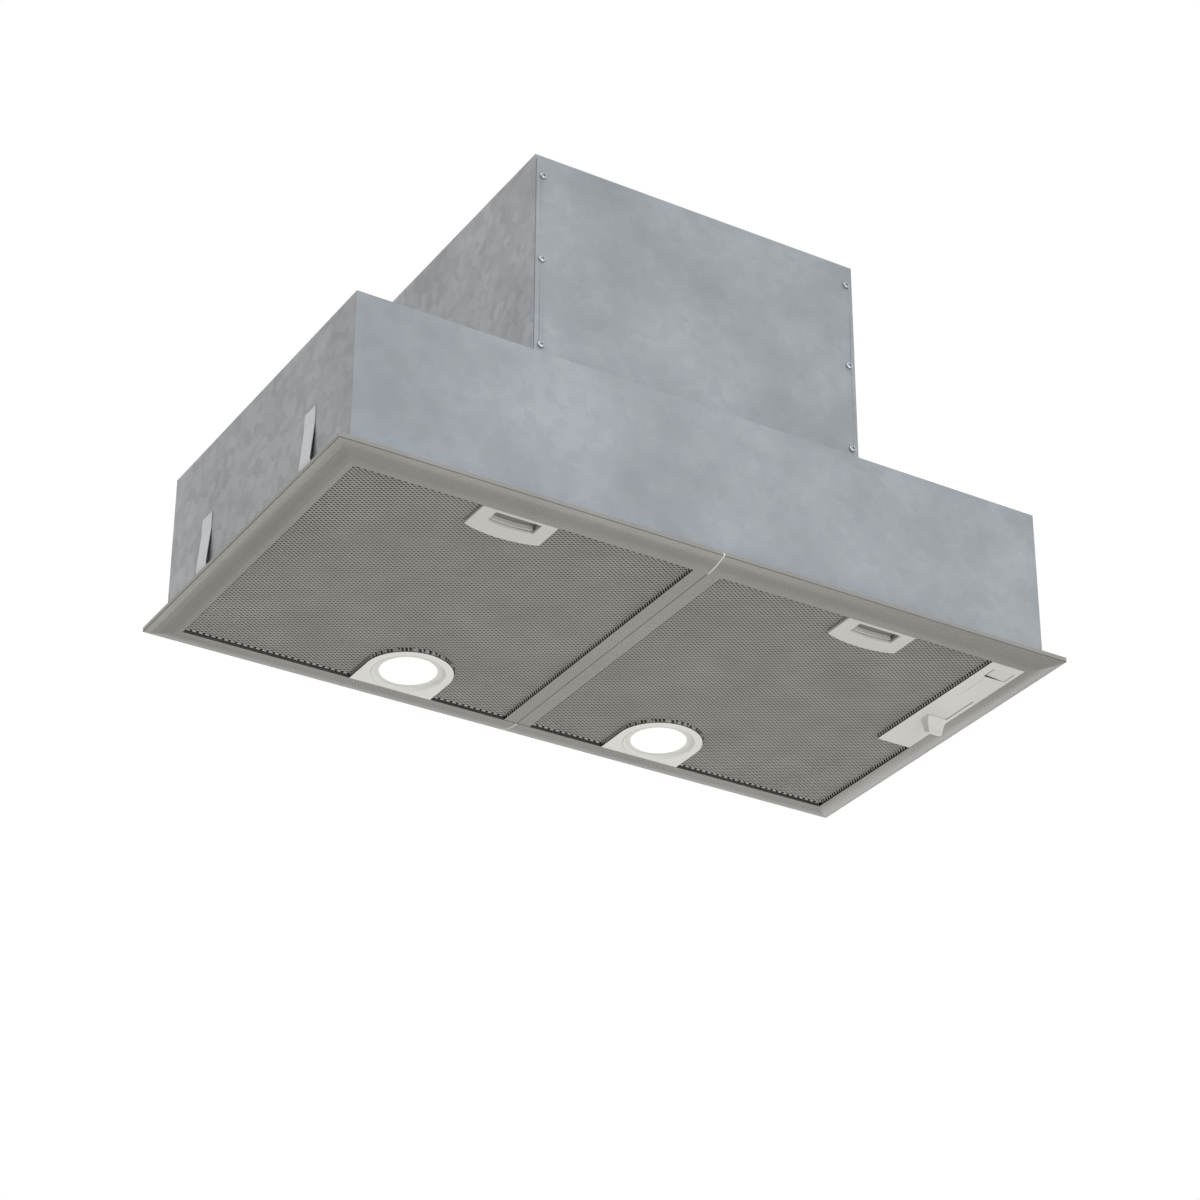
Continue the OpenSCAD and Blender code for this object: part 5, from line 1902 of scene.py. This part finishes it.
STUDIO_LAMPS = (
    SoftLamp("below_front", (0.5, -2.7, -1.9), (2.6, 2.6), 26.0),
    SoftLamp("above_left", (-2.4, -1.2, 2.8), (2.6, 2.6), 34.0),
    SoftLamp("above_back", (1.6, 2.6, 2.4), (2.6, 2.6), 26.0),
    SoftLamp("cool_front", (0.3, -3.2, 0.1), (1.7, 1.7), 30.0, (0.7, 0.87, 1.0)),
    SoftLamp("left_glance", (-0.62, 2.12, -1.6), (0.45, 0.9), 1.3),
    SoftLamp("front_glance", (0.75, 0.18, -1.9), (0.4, 0.95), 0.95),
    SoftLamp("flat_glance", (1.55, 2.6, -1.66), (1.8, 1.8), 4.1),
    SoftLamp("right_glance", (3.0, 2.9, -0.75), (1.2, 1.2), 3.4),
)


@dataclass(frozen=True)
class Studio:
    """The pale floor, the soft light and the camera below the front left corner."""

    camera_at: Point = (-1.3273, -2.1984, -1.3953)
    yaw: float = math.radians(30.958)
    pitch: float = math.radians(29.261)
    roll: float = math.radians(0.216)
    lens: float = 98.57
    sensor: float = 36.0
    sight: float = 60.0
    floor_z: float = -2.7
    floor_size: float = 14.0
    floor_sides: int = 96
    floor_scale: float = 0.6
    floor_shades: tuple[str, str] = ("E6E5E3", "EBEAE8")
    world_light: Pair = (0.32, 0.96)
    world_colour: Colour = (1.0, 0.995, 0.985)
    target: Point = (0.0, 0.0, 0.1)

    def build(self) -> None:
        """Sets up floor, world, lamps and camera."""
        self._world()
        self._floor()
        for lamp in STUDIO_LAMPS:
            lamp.hang(self.target)
        self._camera()
        bpy.context.scene.view_settings.view_transform = "Standard"

    def _world(self) -> None:
        """Lights the scene from all round, and shows white where a ray leaves it."""
        world = bpy.data.worlds.new("studio")
        graph = Graph.fresh(world)
        rays = graph.add("ShaderNodeLightPath").outputs
        seen = graph.maths("MAXIMUM", rays["Is Camera Ray"], rays["Is Glossy Ray"])
        seen = graph.maths("MAXIMUM", seen, rays["Is Transmission Ray"])
        way = graph.add("ShaderNodeTexCoord")
        split = graph.add("ShaderNodeSeparateXYZ", {0: way.outputs["Generated"]})
        strength = graph.span(split.outputs["X"], (-1.0, 1.0), self.world_light)
        feeds = {"Color": self.world_colour, "Strength": strength}
        soft = graph.add("ShaderNodeBackground", feeds)
        white = graph.add("ShaderNodeBackground", {"Color": WHITE, "Strength": 1.0})
        feeds = {0: seen, 1: soft.outputs[0], 2: white.outputs[0]}
        both = graph.add("ShaderNodeMixShader", feeds)
        graph.add("ShaderNodeOutputWorld", {"Surface": both.outputs[0]})
        bpy.context.scene.world = world

    def _floor(self) -> None:
        """Lays a pale round floor far below the hood."""
        floor = Bench.primitive(
            bpy.ops.mesh.primitive_circle_add, "studio_floor",
            vertices=self.floor_sides, radius=self.floor_size, fill_type="NGON",
            location=(0, 0, self.floor_z),
        )
        made = bpy.data.materials.new("pale_floor")
        graph = Graph.fresh(made)
        where = graph.add("ShaderNodeTexCoord").outputs["Object"]
        dark, light = (linear(code) for code in self.floor_shades)
        feeds = {"Vector": where, "Scale": self.floor_scale, "Dark": dark, "Light": light}
        tone = GROUPS.place(graph, Effect.DRIFT, feeds)
        matt = graph.add("ShaderNodeBsdfDiffuse", {"Color": tone.outputs["Color"]})
        graph.add("ShaderNodeOutputMaterial", {"Surface": matt.outputs[0]})
        floor.data.materials.append(made)

    def _camera(self) -> None:
        """Sets the camera that looks up at the hood."""
        data = bpy.data.cameras.new("from_below")
        data.lens = self.lens
        data.sensor_width = self.sensor
        data.sensor_fit = "HORIZONTAL"
        data.clip_end = self.sight
        camera = bpy.data.objects.new("from_below", data)
        across, along = math.sin(self.yaw), math.cos(self.yaw)
        flat = math.cos(self.pitch)
        ahead = Vector((across * flat, along * flat, math.sin(self.pitch)))
        level = Vector((along, -across, 0.0))
        above = level.cross(ahead)
        right = math.cos(self.roll) * level + math.sin(self.roll) * above
        up = -math.sin(self.roll) * level + math.cos(self.roll) * above
        turn = Matrix((right, up, -ahead)).transposed().to_4x4()
        camera.matrix_world = Matrix.Translation(Vector(self.camera_at)) @ turn
        bpy.context.scene.collection.objects.link(camera)
        bpy.context.scene.camera = camera


def main() -> None:
    """Builds the hood, sub-assembly by sub-assembly, and its stage."""
    logging.basicConfig(level=logging.INFO, format="%(message)s")
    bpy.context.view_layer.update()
    Studio().build()
    assemblies = [
        PlateTrim(),
        *(GreaseFilter(side) for side in Side),
        *(Lamp(side) for side in Side),
        ControlCorner(),
        SteelBody(),
        Blower(),
        DuctTop(),
        MainsBox(),
    ]
    for assembly in assemblies:
        assembly.build()
        LOG.info("%s is done", type(assembly).__name__)
    Bench.clear()


if __name__ == "__main__":
    main()
